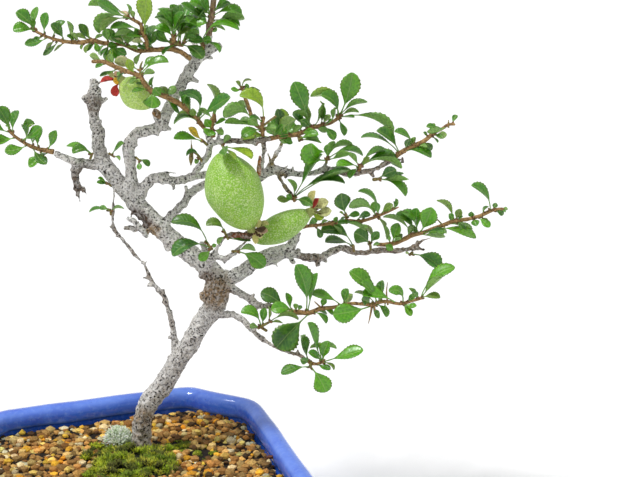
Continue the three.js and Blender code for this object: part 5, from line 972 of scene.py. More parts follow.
# Stains of the bark: u, v, radius, colour, and how much deeper and rougher it is there, in millimetres.
WOOD_STAINS = (
    (37, 78, 11, "#94754c", -0.2, 1.0),
    (33, 84, 5, "#6e553d", 0.3, 1.0),
    (29, 75, 4, "#a98a5e", -0.3, 0.8),
    (-2.5, 115, 6, "#4f3826", 0.5, 0.8),
    (1.5, 111.5, 6, "#5a412c", 0.6, 0.8),
    (6, 107.5, 5, "#a5865a", 0.2, 0.6),
    (-8, 108.5, 4, "#8b7a63", 0.0, 0.6),
    (-31, 131, 13, "#5d4a3a", 0.1, 0.7),
    (49, 106, 6.5, "#7a3f2a", 0.0, 0.0),
    (70, 134, 5, "#86713f", 0.0, 0.0),
    (-24, 171, 7, "#7a6c5f", 0.0, 0.8),
    (-18, 155, 13, "#bbb7b1", 0.0, 0.2),
    (84, 93, 8, "#857363", 0.0, 0.4),
    (48, 153, 9, "#8a7768", 0.0, 0.0),
    (62, 154, 8, "#85725f", 0.0, 0.0),
    (65.5, 143, 4.5, "#8c7742", 0.0, 0.0),
    (74, 129, 5, "#8c7742", 0.0, 0.0),
    (1.5, 14, 7, "#a08a6e", 0.3, 1.2),
    (0.5, 4, 6, "#7d6a52", 0.1, 0.8),
    (-14, 119, 5, "#9c8f82", -0.35, -0.5),
    (-12.5, 108, 4.5, "#9c8f82", -0.35, -0.5),
    (-4, 97, 6, "#a09488", -0.25, -0.4),
    (5, 86, 6, "#a3988c", -0.2, -0.4),
    (11, 74, 6, "#a89e93", -0.1, -0.3),
    (14, 62, 5, "#ada399", 0.0, -0.2),
)
# How uneven a stain's edge is, how soft, and how much of the bark's own colour it takes away.
STAIN_RAGGED = 0.25
STAIN_CELL = 3 * MM
STAIN_SOFT = 2.0
STAIN_COVER = 0.95

# Limbs turn brown to the right of these u, above and below the fork's v, over this many millimetres.
FORK_V = 85
YOUNG_ABOVE = 84
YOUNG_BELOW = 48
YOUNG_OVER = 22
YOUNG_BROWN = "#8a6f55"
YOUNG_COVER = 0.82
# The foot of the trunk is soiled up to this v.
SOILED_V = 16
SOILED_OVER = 20
SOILED_BROWN = "#b5a896"


def wood_stain(place):
    """The stain that a place of the bark lies in most, and by how much."""
    u, v = sight(place)
    edge = STAIN_RAGGED * noise.noise(place / STAIN_CELL)
    found, most = None, 0.0
    for stain in WOOD_STAINS:
        share = min(1.0, STAIN_SOFT * (1.0 - math.hypot(u - stain[0], v - stain[1]) / stain[2] - edge))
        if share > most:
            found, most = stain, share
    return found, most


def wood_tint(place, base, stain, share, rng):
    """Bark colour: grey when old, brown on the younger ends of the limbs, soiled at the foot."""
    u, v = sight(place)
    tint = blended(base, linear(stain[3]), STAIN_COVER * share) if stain else base
    start = YOUNG_ABOVE if v > FORK_V else YOUNG_BELOW
    young = min(1.0, max(0.0, (u - start) / YOUNG_OVER))
    tint = blended(tint, linear(YOUNG_BROWN), young * YOUNG_COVER)
    if v < SOILED_V:
        tint = blended(tint, linear(SOILED_BROWN), (SOILED_V - v) / SOILED_OVER)
    return varied(tint, rng, spread=0.05)


# Strips of bark that have come loose, dead buds and scales: points as u, v, d, radius, and the colour.
LOOSE_BARK = (
    (((-6.6, 114.4, 2, 0.8), (-3, 112, 3, 1.5), (0, 109, 3.5, 1.6), (3.2, 105, 3, 0.9)), "#e0deda"),
    (((59.5, 135.5, 8, 0.9), (59.4, 140, 8, 1.2), (59.7, 145, 8, 0.6)), "#b8733a"),
    (
        (
            (58, 92.4, -4, 1.9), (62, 94, -5.4, 2.2), (66, 95, -6.4, 2.2), (70, 96, -7.4, 2.2),
            (75, 98.4, -8, 1.8),
        ),
        "#cfccc7",
    ),
    (((131, 142, 0, 1.0), (131, 144.4, 0, 0.5)), "#4a372a"),
    (((36.6, 162, 7, 1.3), (36.8, 165, 7, 1.2), (37, 167.4, 7, 0.5)), "#5a4433"),
    (
        ((44, 105.8, 13, 0.9), (48, 105.5, 15, 1.8), (52.5, 105.4, 17, 2.0), (56.6, 106.8, 18.5, 1.6)),
        "#9c5430",
    ),
    (((6, 167.6, 8, 1.3), (8.4, 166.2, 8, 1.9), (9.4, 164, 8, 0.8)), "#8d6b3f"),
)

# Remeshing leaves loose bits with fewer points than this.
LEAST_POINTS = 200
SMOOTH_ROUNDS = 7
# The bark's relief: cell in metres and height in millimetres of its lumps, knots and grit.
LUMPS = (5.5 * MM, 0.45)
KNOTS = (2.4 * MM, 0.95)
GRIT = (1.1 * MM, 0.22)
KNOTS_ASIDE = Vector((9, 3, 5))
RELIEF_DROP = 0.12
RELIEF = 0.9
# The bark's painted light and shade, lighter where knots and grit stand out and darker in the hollows:
# how light it is on level bark, for each millimetre that it stands out, and at its ends.
LEVEL_SHADE = 1.04
SHADE_BY = 0.6
LEVEL_RISE = 0.2
SHADE_LEAST, SHADE_MOST = 0.5, 1.15


def drop_crumbs(mesh):
    """Removes the loose bits of a remeshed body."""
    whole = bmesh.new()
    whole.from_mesh(mesh)
    left = set(whole.verts)
    while left:
        bit, edge = set(), [left.pop()]
        while edge:
            point = edge.pop()
            bit.add(point)
            for side in point.link_edges:
                other = side.other_vert(point)
                if other in left:
                    left.remove(other)
                    edge.append(other)
        if len(bit) < LEAST_POINTS:
            bmesh.ops.delete(whole, geom=list(bit), context="VERTS")
    whole.to_mesh(mesh)
    whole.free()


def remeshed_wood(context, cell):
    """The CAD wood as one even skin of small faces, in the frame's own place."""
    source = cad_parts["wood"]
    rough = bpy.data.objects.new("rough_wood", source.data.copy())
    context.scene.collection.objects.link(rough)
    rough.matrix_world = source.matrix_world
    remesh = rough.modifiers.new("cells", "REMESH")
    remesh.mode = "VOXEL"
    remesh.voxel_size = cell
    smooth = rough.modifiers.new("smooth", "SMOOTH")
    smooth.factor = 0.5
    smooth.iterations = SMOOTH_ROUNDS
    graph = context.evaluated_depsgraph_get()
    mesh = bpy.data.meshes.new_from_object(rough.evaluated_get(graph))
    mesh.transform(rough.matrix_world)
    bpy.data.objects.remove(rough)
    drop_crumbs(mesh)
    return mesh


def grow_bark(mesh, settings, rng):
    """Raises lumps, knots and grit on the wood and colours each point, with painted light and shade."""
    normals = [vertex.normal.copy() for vertex in mesh.vertices]
    places = [vertex.co.copy() for vertex in mesh.vertices]
    tints = mesh.attributes.new("tint", "FLOAT_COLOR", "POINT")
    base = list(settings.bark_colour)
    for vertex, normal, place in zip(mesh.vertices, normals, places):
        stain, share = wood_stain(place)
        lumps = noise.noise(place / LUMPS[0]) * LUMPS[1]
        knots = max(0.0, noise.noise(place / KNOTS[0] + KNOTS_ASIDE)) * KNOTS[1]
        grit = noise.noise(place / GRIT[0]) * GRIT[1]
        relief = lumps + knots + grit - RELIEF_DROP
        if stain:
            relief = relief * (1.0 + stain[5] * share) - stain[4] * share
        vertex.co = place + normal * (settings.bark_growth + relief * MM * RELIEF)
        tint = wood_tint(place, base, stain, share, rng)
        # Painted light and shade: lighter on raised knots and grit, darker in the hollows between them.
        shade = LEVEL_SHADE + SHADE_BY * (knots + grit - LEVEL_RISE)
        shade = max(SHADE_LEAST, min(SHADE_MOST, shade))
        tints.data[vertex.index].color = [c * shade for c in tint[:3]] + [1.0]
    mesh.polygons.foreach_set("use_smooth", [True] * len(mesh.polygons))
    mesh.update()


class BONSAI_OT_wood(bpy.types.Operator):
    """Remesh the CAD wood, roughen it and colour its bark"""

    bl_idname = "bonsai.wood"
    bl_label = "Wood"

    def execute(self, context):
        settings = context.scene.bonsai_tree
        rng = random.Random(settings.seed)
        mesh = remeshed_wood(context, settings.bark_cell)
        mesh.name = "wood_bark"
        mesh.materials.clear()
        bark = bark_material(
            "bark_weathered", "#a39d95", pale="#f4f3f1", fleck="#1f1813", fleck_size=1.0, roughness=0.88,
        )
        mesh.materials.append(bark)
        grow_bark(mesh, settings, rng)
        piece = bpy.data.objects.new("wood_bark", mesh)
        context.scene.collection.objects.link(piece)
        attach(piece, "root")
        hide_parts("wood")
        loose = Shape()
        for points, code in LOOSE_BARK:
            run = flowing(points, step=0.7 * MM)
            tube(loose, run, sides=8, tint=linear(code), rough=0.5, rng=rng)
        scales = loose.build("bark_scales", [bark])
        return {"FINISHED"}


# Twigs: how far the root reaches into the wood in millimetres, how thick they are beside the CAD ones,
# and their colours: old, thin and green, and the ones that differ.
TWIG_ROOT = 1.6
TWIG_SHARE = 0.88
OLD_TWIG = "#aa8450"
GREEN_TWIG = "#8d8a4a"
GREEN_BELOW = 1.0
TWIG_COLOURS = {"leafy_shoot_leader": "#98806c", "leafy_shoot_lower_right": "#b28b54"}
# The bud at each leaf's foot: how far up the stalk in millimetres, and its colour.
BUD_AT = 0.7
BUD_BROWN = "#7d5a3c"
# Small leaves fill the twigs of at least this length, one for each step, in millimetres.
FILLED_LENGTH = 20
FILLING_STEP = 5.6
FILLING_TINTS = "mmdobt"


def filling(stems, rng):
    """Small leaves all along each long twig, as rows like the ones of the bigger leaves."""
    rows = []
    for stem in stems:
        run = sum(math.hypot(b[0] - a[0], b[1] - a[1]) for a, b in zip(stem, stem[1:]))
        if run < FILLED_LENGTH:
            continue
        for a, b in zip(stem, stem[1:]):
            stretch = math.hypot(b[0] - a[0], b[1] - a[1])
            along = math.atan2(b[1] - a[1], b[0] - a[0])
            for _ in range(int(stretch / FILLING_STEP + rng.random())):
                t = rng.random()
                u, v = a[0] + (b[0] - a[0]) * t, a[1] + (b[1] - a[1]) * t
                angle = along + rng.choice((-1, 1)) * rng.uniform(0.4, 1.3)
                reach = rng.uniform(4.0, 8.0)
                width = reach * rng.uniform(0.25, 0.5)
                bow, nearer = rng.uniform(-1, 1), rng.uniform(-7, 2)
                row = [u, v, u + reach * math.cos(angle), v + reach * math.sin(angle), width, bow, nearer]
                rows.append((row, rng.choice("+-+") + rng.choice(FILLING_TINTS)))
    return rows


class BONSAI_OT_leafage(bpy.types.Operator):
    """Grow every twig with its leaves"""

    bl_idname = "bonsai.leafage"
    bl_label = "Twigs and leaves"

    def execute(self, context):
        settings = context.scene.bonsai_tree
        blade = leaf_material()
        bark = bark_material(
            "bark_young", "#85602f", pale="#cba76e", fleck="#6b4726", fleck_size=0.9, roughness=0.6,
        )
        for number, (node, text) in enumerate(LEAFAGE.items()):
            rng = random.Random(settings.seed * 100 + number)
            shape = Shape()
            stem_text, leaf_text = text.split("|")
            stems = stems_of(stem_text)
            for stem in stems:
                start, after = Vector(stem[0][:3]), Vector(stem[1][:3])
                root = list(start + (start - after).normalized() * TWIG_ROOT) + [stem[0][3]]
                thin = [point[:3] + [point[3] * TWIG_SHARE] for point in [root] + stem]
                code = OLD_TWIG if stem[0][3] > GREEN_BELOW else GREEN_TWIG
                brown = linear(TWIG_COLOURS.get(node, code))
                run = flowing(thin, step=1.0 * MM)
                tube(shape, run, sides=8, tint=brown, slot=SIDE_SLOT, rough=0.22, rng=rng)
            for row, code in list(rows_of(leaf_text)) + filling(stems, rng):
                foot = nearest_on(stems, row[0], row[1])
                leaf(shape, foot, row, code, rng)
                place = spot(*foot)
                reach = spot(row[2], row[3], foot[2] + row[6]) - place
                place = place + reach.normalized() * BUD_AT * MM
                brown = varied(linear(BUD_BROWN), rng, spread=0.2)
                bud(shape, place, reach, length=2.0 * MM, radius=0.62 * MM, tint=brown)
            piece = shape.build(node + "_looks", [blade, bark])
            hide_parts(node)
        return {"FINISHED"}


# A fruit's sections and sides, and how much of a half turn they take up, from its stalk end on.
FRUIT_STATIONS = 40
FRUIT_SIDES = 48
FRUIT_FROM, FRUIT_OVER = 0.02, 0.96
# Its five faint ribs, and its dents: their size in metres and depth in millimetres.
FRUIT_RIBS = 5
RIB_HEIGHT = 0.012
RIB_TURN = 1.0
DENT_CELL = 9 * MM
DENT_DEPTH = 0.5
# It is paler past this share of its length; the fruit in the shade is paler all over.
PALE_FROM = 0.8
PALE_BY = 1.6
PALE_END = "#c9d48c"
SHADE_FRUIT = "fruit_left"
SHADE_GREEN = "#d4ee7c"
SHADE_COVER = 0.72
# The collar that the sepals stand on: how far past the fruit's end, and its radius, in millimetres.
COLLAR = ((-2.5, 2.6), (-1.0, 2.3), (0.3, 2.0), (1.2, 2.2))
COLLAR_GREEN = "#a9b56a"
# The dry stamens: their number, the radius of their ring in millimetres, their thickness and colours.
STAMENS = 16
STAMEN_RING = 1.6
STAMEN_MARKS = ((0.0, 0.16), (0.35, 0.16), (0.7, 0.16), (1.0, 0.16))
STAMEN_COLOURS = ("#4b3826", "#6d5433", "#8a7448")
ANTHER_BROWN = "#5d4428"


def fruit_body(shape, spec, tint, rng):
    """One fruit's skin, closed at both ends; hands back its blossom end and its axis."""
    start, end = spot(*spec[0]), spot(*spec[1])
    radius, fullest, blunt = spec[2] * MM, spec[3], spec[4]
    axis = (end - start).normalized()
    side, other = crosswise(axis)
    length = (end - start).length
    loops = []
    for i in range(FRUIT_STATIONS + 1):
        share = 0.5 - 0.5 * math.cos(math.pi * (FRUIT_FROM + FRUIT_OVER * i / FRUIT_STATIONS))
        if share < fullest:
            swell = math.sin(math.pi / 2 * share / fullest) ** blunt[0]
        else:
            swell = math.sin(math.pi / 2 * (1 - share) / (1 - fullest)) ** blunt[1]
        colour = blended(tint, linear(PALE_END), max(0.0, share - PALE_FROM) * PALE_BY)
        loop = []
        for angle, out in circle(side, other, FRUIT_SIDES):
            rib = 1.0 + RIB_HEIGHT * math.cos(FRUIT_RIBS * angle + RIB_TURN)
            place = start + axis * (share * length) + out * (radius * swell * rib)
            dent = noise.noise(place / DENT_CELL) * DENT_DEPTH * MM * swell
            loop.append(shape.point(place + out * dent, varied(colour, rng, spread=0.03)))
        loops.append(loop)
    shape.rings(loops)
    return end, axis


def dry_stamens(shape, end, axis, rng):
    """The stamens that dried on the fruit's end, each with its tip."""
    for _ in range(STAMENS):
        reach = (axis + jitter(rng, reach=0.6)).normalized()
        root = end + reach.cross(axis) * STAMEN_RING * MM
        long = rng.uniform(2.5, 5.0)
        run = thread(root, reach, long, jitter(rng, reach=0.5) * MM, STAMEN_MARKS)
        tube(shape, run, sides=5, tint=linear(rng.choice(STAMEN_COLOURS)), slot=SIDE_SLOT)
        bud(shape, run[-1][0], reach, length=0.9 * MM, radius=0.32 * MM, tint=linear(ANTHER_BROWN))


class BONSAI_OT_fruits(bpy.types.Operator):
    """Turn the fruits, with what is left of their flowers"""

    bl_idname = "bonsai.fruits"
    bl_label = "Fruits"

    def execute(self, context):
        settings = context.scene.bonsai_tree
        skin = fruit_material()
        # Sepals and stamens dried on the fruit: papery and dull, with crinkles 0.8 mm wide.
        dry = plain_material("flower_remains", None, roughness=0.8, size=0.8, depth=0.12, dark="#cdc6b8")
        for number, (node, spec) in enumerate(FRUITS.items()):
            rng = random.Random(settings.seed * 10 + number)
            shape = Shape()
            cover = SHADE_COVER if node == SHADE_FRUIT else 0.0
            tint = blended(settings.fruit_colour, linear(SHADE_GREEN), cover)
            end, axis = fruit_body(shape, spec, tint, rng)
            for row, code in rows_of(SEPALS[node]):
                foot = (row[0], row[1], spec[1][2])
                leaf(shape, foot, row, code, rng, SIDE_SLOT, stations=12, teeth=0.02)
            collar = [(end + axis * (past * MM), radius * MM) for past, radius in COLLAR]
            tube(shape, collar, sides=16, tint=linear(COLLAR_GREEN), slot=SIDE_SLOT, rough=0.2, rng=rng)
            dry_stamens(shape, end, axis, rng)
            piece = shape.build(node + "_looks", [skin, dry])
            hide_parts(node)
        return {"FINISHED"}


# The pot's cut corners, in millimetres: how much is cut, how far the cut dips in, how much less is cut
# for each millimetre inwards, points along a side and a corner, and rounds of smoothing.
CORNER_CUT = 29.0
CORNER_DIP = 3.0
CUT_LESS = 0.6
SIDE_POINTS = 20
CORNER_POINTS = 12
CORNER_ROUNDING = 3


def pot_plan(inset):
    """The pot's plan at an inset from its rim, as points from the trunk's foot."""
    half = (POT_RIGHT - POT_LEFT) / 2 - inset
    cut = CORNER_CUT - inset * CUT_LESS
    dip = cut / 2 + CORNER_DIP
    # The front's start and end, the corner's deepest place and the next side's start, from the pot's middle.
    # Each further side is the one before, turned by a quarter.
    marks = [(cut - half, -half), (half - cut, -half), (half - dip, dip - half), (half, cut - half)]
    plan = []
    for _ in range(4):
        start, end, bend, after = [(x + POT_MIDDLE[0], y + POT_MIDDLE[1]) for x, y in marks]
        marks = [(-y, x) for x, y in marks]
        for k in range(SIDE_POINTS):
            t = k / SIDE_POINTS
            plan.append(tuple(start[n] + (end[n] - start[n]) * t for n in (0, 1)))
        for k in range(CORNER_POINTS):
            t = k / CORNER_POINTS
            plan.append(tuple(
                end[n] * (1 - t) ** 2 + bend[n] * 2 * t * (1 - t) + after[n] * t * t for n in (0, 1)
            ))
    for _ in range(CORNER_ROUNDING):
        plan = [
            tuple((before[n] + 2 * here[n] + after[n]) / 4 for n in (0, 1))
            for before, here, after in zip(plan[-1:] + plan[:-1], plan, plan[1:] + plan[:1])
        ]
    return plan


# The pot's section from its inner floor over the lip to the underside: inset, height, share of thin glaze.
POT_SECTION = (
    (15.0, -30.0, 0.0), (14.2, -29.0, 0.0), (12.4, -22.0, 0.0), (9.8, -10.0, 0.0), (7.8, -3.0, 0.0),
    (7.2, -0.6, 0.0), (7.3, 0.5, 0.0), (8.1, 1.0, 0.5), (8.8, 1.8, 0.4), (9.0, 3.0, 0.1), (8.8, 5.4, 0.1),
    (8.3, 7.4, 0.3), (7.2, 8.9, 0.7), (5.6, 9.7, 0.6), (3.4, 9.9, 0.4), (1.2, 9.6, 0.6), (-0.2, 8.6, 1.0),
    (-0.95, 7.0, 0.8), (-1.2, 5.0, 0.3), (-1.1, 3.0, 0.4), (-0.5, 1.4, 1.0), (0.6, 0.5, 0.8),
    (2.0, 0.1, 0.1),
    (2.8, -1.0, 0.0), (3.6, -4.0, 0.0), (5.6, -12.0, 0.0), (7.8, -22.0, 0.1), (10.4, -33.0, 0.2),
    (11.2, -35.0, 0.9), (12.4, -35.9, 0.9), (14.0, -36.0, 0.2),
)
# The hand-made waviness of its walls, in millimetres, and the share of it that the lip's height takes.
WAVE_CELL = 24.0
WAVE_HEIGHT = 0.7
WAVE_OF_LIP = 0.6
# A foot under each corner: insets of its two faces, the plan's points to each side of the corner, and its
# section as height, scale and share of thin glaze.
FOOT_OUTER, FOOT_INNER = 12.4, 21.4
FOOT_MIDDLE = SIDE_POINTS + CORNER_POINTS // 2
FOOT_HALF = 13
FOOT_SECTION = (
    (-35.5, 1.0, 0.0), (-37, 0.99, 0.1), (-41.5, 0.965, 0.3), (-42.6, 0.955, 1.0), (-43.0, 0.94, 0.8),
)
# The drain holes, in millimetres from the trunk's foot.
DRAIN_PLACES = ((-46.0, -34.0, -33.0), (18.0, -34.0, -33.0))


def pot_foot(shape, corner, glaze, lip):
    """One foot, along the cut of a corner and a little of the two sides."""
    centre = corner * (SIDE_POINTS + CORNER_POINTS) + FOOT_MIDDLE
    path = []
    for inset in (FOOT_OUTER, FOOT_INNER):
        plan = pot_plan(inset)
        face = [plan[(centre + k) % len(plan)] for k in range(-FOOT_HALF, FOOT_HALF + 1)]
        path += face if inset == FOOT_OUTER else face[::-1]
    middle = [sum(point[n] for point in path) / len(path) for n in (0, 1)]
    loops = []
    for height, scale, thin in FOOT_SECTION:
        colour = blended(glaze, lip, thin)
        loop = []
        for point in path:
            x, y = (middle[n] + (point[n] - middle[n]) * scale for n in (0, 1))
            loop.append(shape.point(ground(x, y, height), colour))
        loops.append(loop[::-1])
    shape.rings(loops)


def drilled(context, piece, place):
    """Cuts a drain hole through the pot."""
    bpy.ops.mesh.primitive_cylinder_add(
        vertices=48, radius=8 * MM, depth=20 * MM, location=ground(*place),
    )
    cutter = context.object
    hole = piece.modifiers.new("drain", "BOOLEAN")
    hole.operation = "DIFFERENCE"
    hole.object = cutter
    hole.solver = "EXACT"
    graph = context.evaluated_depsgraph_get()
    mesh = bpy.data.meshes.new_from_object(piece.evaluated_get(graph))
    piece.modifiers.clear()
    piece.data = mesh
    bpy.data.objects.remove(cutter)


class BONSAI_OT_pot(bpy.types.Operator):
    """Form the glazed pot with its lip, feet and drain holes"""

    bl_idname = "bonsai.pot"
    bl_label = "Pot"

    def execute(self, context):
        settings = context.scene.bonsai_ground
        glaze, lip = list(settings.glaze_colour), list(settings.lip_colour)
        shape = Shape()
        loops = []
        for inset, height, thin in POT_SECTION:
            colour = blended(glaze, lip, thin)
            loop = []
            for x, y in pot_plan(inset):
                wave = noise.noise(Vector((x, y, height)) / WAVE_CELL) * WAVE_HEIGHT
                rise = wave * (WAVE_OF_LIP if height > 0 else 0.0)
                loop.append(shape.point(ground(x + wave, y + wave, height + rise), colour))
            loops.append(loop)
        shape.rings(loops)
        for corner in range(4):
            pot_foot(shape, corner, glaze, lip)
        piece = shape.build("pot_glazed", [glaze_material()])
        for place in DRAIN_PLACES:
            drilled(context, piece, place)
        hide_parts("pot")
        return {"FINISHED"}


# Clay grains: the brown ones, and the fewer that are ochre, yellow or cream.
BROWN_GRAINS = (
    "#cf9d57", "#deb164", "#a87b40", "#ebbe6c", "#b88a48",
    "#f2cd80", "#85612f", "#cc9f5a", "#a57a41", "#5c4424",
)
LIGHT_GRAINS = ("#ffcc42", "#ffb62c", "#ffe27a", "#fff2c0", "#f6e6b8")
LIGHT_SHARE = 0.26
LIGHT_SWING = 0.2
LIGHT_CELL = 16.0
# Their sizes beside the mean, and their build: flat faces cut at these depths, longest way, flatness.
GRAIN_SIZES = (0.6, 0.8, 0.9, 1.0, 1.0, 1.1, 1.3)
GRAIN_SWELL = 1.2
GRAIN_CUTS = 7
CUT_DEPTH = (0.6, 1.0)
GRAIN_REACH = 1.15
LEAST_COSINE = 0.1
GRAIN_STRETCH = (0.85, 1.3)
GRAIN_FLATNESS = (0.7, 1.0)
# Their bed, in millimetres: the inset from the rim, the pitch beside the grain's size, how far they stray
# and lie deeper or higher, how the bed rolls, and how it falls beside the wall.
BED_INSET = 9.6
BED_SEED = 21
PITCH_SHARE = 0.82
ROW_SHARE = 0.87
GRAIN_STRAY = 0.9
GRAIN_LIFT = (-1.6, 1.4)
BED_DROP = 0.1
ROLL_CELL = 12.0
ROLL_HEIGHT = 0.6
WALL_DROP = 1.4
WALL_REACH = 7.0
# How far from the bed's middle they lie at most, counted along both sides, to keep off the cut corners, and
# how far from the trunk at least.
CORNER_INSET = BED_INSET * 1.45
CORNER_SLACK = 3
BED_CORNER = POT_RIGHT - POT_LEFT - CORNER_CUT - CORNER_INSET + CORNER_SLACK
TRUNK_RADIUS = 4.5
# Where the moss is thicker than this there are few grains.
MOSSY = 0.3
MOSSY_BARE = 0.93
# One grain fell on the pot's lip: its place, radius and colour.
FALLEN_GRAIN = (55.4, -40.0, 4.4)
FALLEN_RADIUS = 1.7 * MM
FALLEN_BROWN = "#7a4a36"


def block_parts():
    """A small rounded block, as directions and faces, to make grains from."""
    block = bmesh.new()
    bmesh.ops.create_icosphere(block, subdivisions=1, radius=1.0)
    directions = [vertex.co.copy() for vertex in block.verts]
    faces = [tuple(vertex.index for vertex in face.verts) for face in block.faces]
    block.free()
    return directions, faces


def grain(shape, centre, radius, tint, block, rng):
    """One broken grain: a block whose flat faces are cut at random depths."""
    cuts = []
    for _ in range(GRAIN_CUTS):
        way = Vector([rng.gauss(0, 1) for _ in range(3)]).normalized()
        cuts.append((way, rng.uniform(*CUT_DEPTH)))
    stretch = rng.uniform(*GRAIN_STRETCH)
    flat = rng.uniform(*GRAIN_FLATNESS)
    base = len(shape.points)
    directions, faces = block
    for direction in directions:
        depths = [depth / direction.dot(way) for way, depth in cuts if direction.dot(way) > LEAST_COSINE]
        step = direction * min([GRAIN_REACH] + depths)
        shape.point(centre + Vector((step.x * stretch, step.y, step.z * flat)) * radius, tint)
    for face in faces:
        shape.face(tuple(base + corner for corner in face))


# Cushions on the soil by CAD node: middle from the trunk's foot, half widths and height, in millimetres.
Cushion = namedtuple("Cushion", "name x y half_x half_y height")
MOSSES = (
    Cushion("moss_mound", -8.5, -18.5, 19.0, 24.0, 5.5),
    Cushion("moss_patch_right", 18.0, -4.0, 7.0, 8.0, 1.6),
    Cushion("moss_patch_far_right", 29.0, -18.0, 6.0, 7.0, 1.4),
)
LICHEN = Cushion("lichen_tuft", -9.4, 7.5, 6.4, 6.5, 10.5)
# A moss cushion's ragged edge: how far it reaches, how ragged it is, and the size of its tongues.
COVER_REACH = 1.15
COVER_RAGGED = 0.55
COVER_CELL = 7.0


def moss_cover(x, y):
    """How thick the moss is over a point of the bed, below 0 where there is none."""
    ragged = COVER_RAGGED * noise.noise(Vector((x, y, 7)) / COVER_CELL)
    best = -1.0
    for moss in MOSSES:
        far = math.hypot((x - moss.x) / moss.half_x, (y - moss.y) / moss.half_y)
        best = max(best, COVER_REACH - far + ragged)
    return best


def lies_bare(x, y, rng):
    """Whether a grain can lie at a point of the bed: off the cut corners, the trunk and most of the moss."""
    corner = abs(x - POT_MIDDLE[0]) + abs(y - POT_MIDDLE[1])
    if corner > BED_CORNER or math.hypot(x, y) < TRUNK_RADIUS:
        return False
    return not (moss_cover(x, y) > MOSSY and rng.random() < MOSSY_BARE)


class BONSAI_OT_soil(bpy.types.Operator):
    """Strew the grains over the bed"""

    bl_idname = "bonsai.soil"
    bl_label = "Soil"

    def execute(self, context):
        rng = random.Random(BED_SEED)
        # Low-fired clay grains, broken and damp here and there: matt, and darker in the pits, which are
        # 0.2 mm wide in life and drawn at 0.9 mm.
        clay = plain_material("fired_clay_grain", None, roughness=0.9, size=0.9, depth=0.2, dark="#c9c2ba")
        block = block_parts()
        size = context.scene.bonsai_ground.grain_size / MM
        pitch = size * PITCH_SHARE
        front, back = Shape(), Shape()
        grain(back, ground(*FALLEN_GRAIN), FALLEN_RADIUS, linear(FALLEN_BROWN), block, rng)
        y = POT_FRONT + BED_INSET
        row = 0
        while y < POT_BACK - BED_INSET:
            x = POT_LEFT + BED_INSET + (row % 2) * pitch / 2
            while x < POT_RIGHT - BED_INSET:
                gx, gy = (place + rng.uniform(-GRAIN_STRAY, GRAIN_STRAY) for place in (x, y))
                radius = size / 2 * rng.choice(GRAIN_SIZES) * GRAIN_SWELL
                lift = rng.uniform(*GRAIN_LIFT)
                swing = LIGHT_SWING * noise.noise(Vector((gx, gy, 2)) / LIGHT_CELL)
                code = rng.choice(LIGHT_GRAINS if rng.random() < LIGHT_SHARE + swing else BROWN_GRAINS)
                tint = varied(linear(code), rng, spread=0.34)
                x += pitch
                if not lies_bare(gx, gy, rng):
                    continue
                beside = min(gx - POT_LEFT, POT_RIGHT - gx, gy - POT_FRONT, POT_BACK - gy) - BED_INSET
                lift -= WALL_DROP * max(0.0, 1.0 - beside / WALL_REACH)
                roll = ROLL_HEIGHT * noise.noise(Vector((gx, gy, 0)) / ROLL_CELL)
                centre = ground(gx, gy, SOIL_TOP - BED_DROP + lift + roll)
                shape = front if gy < POT_MIDDLE[1] else back
                grain(shape, centre, radius * MM, tint, block, rng)
            y += pitch * ROW_SHARE
            row += 1
        for name, shape in (("soil_grains_front", front), ("soil_grains_back", back)):
            piece = shape.build(name, [clay], smooth=False)
        # The same clay below the grains, coloured near black as painted shade in the gaps between them, with
        # clouds 1.8 mm wide.
        bed = plain_material(
            "fired_clay_bed", "#241811", roughness=0.95, size=1.8, depth=0.8, dark="#8c8c8c",
        )
        refinish("soil", bed)
        return {"FINISHED"}


# A cushion's dome: rings and sides, how ragged its rim is, how far it is sunk, the share of its height that
# the shoots leave to it, and its lumps in millimetres.
DOME_RINGS = 18
DOME_SIDES = 64
RIM_MEAN, RIM_SWING = 0.85, 0.2
DOME_SUNK = 1.2
DOME_LEAST = 0.2
DOME_SHARE = 0.6
DOME_CELL = 3.4
DOME_LUMP = 0.9
# The moss's dome is near black as painted shade between the shoots; the lichen's dome has the lichen's own
# pale colour.
MOSS_DOME_SHADE = "#121a05"
LICHEN_BASE = "#eef4e0"
# Moss tufts of shoots: how far they reach past the cushion, and the least cover; a tuft's shoots, radius,
# height in millimetres, least full height and lean, and the bare ring round the trunk.
TUFT_REACH = 1.25
TUFT_COVER = 0.05
TUFT_SHOOTS = 20
TUFT_RADIUS = 1.5
TUFT_TALL = (1.3, 3.4)
TUFT_FULL = 3.5
TUFT_CROWN = 0.4
TUFT_LEAN = 0.35
SHOOT_TALL = (0.6, 1.25)
BARE_RING = 5.8
MOSS_COLOURS = ("#a9cc06", "#dcea1c", "#729d05", "#f0f04a", "#2a4603", "#bcd810", "#142402")
# A shoot's blades, which are 0.3 mm wide in life and drawn 0.7 mm wide so that they show: their number, half
# width, middle and tip as shares of its height, and the colours that their foot and tip take on; the foot's
# near black is painted shade deep in the cushion.
BLADES = 4
BLADE_HALF = 0.36 * MM
BLADE_MIDDLE = (0.55, 0.3)
BLADE_TALL = (0.8, 1.2)
BLADE_REACH = (0.35, 0.75)
BLADE_FOOT_SHADE, FOOT_SHADE_COVER = "#0d1403", 0.9
BLADE_TIP, TIP_COVER = "#e2e35c", 0.45
# Lichen branches, 0.2 mm thick in life and drawn up to 0.6 mm thick: their number, how high the dome rises
# below them, how upright they are at the rim, and their thickness and colours.
BRANCHES = 900
BRANCH_DROP = 0.6
BRANCH_DOME = 0.75
BRANCH_RISE = 0.35
BRANCH_MARKS = ((0.0, 0.18), (0.4, 0.22), (0.75, 0.3), (1.0, 0.24))
LICHEN_COLOURS = ("#f4f9e8", "#ffffff", "#e2edd2", "#c8d8b6")


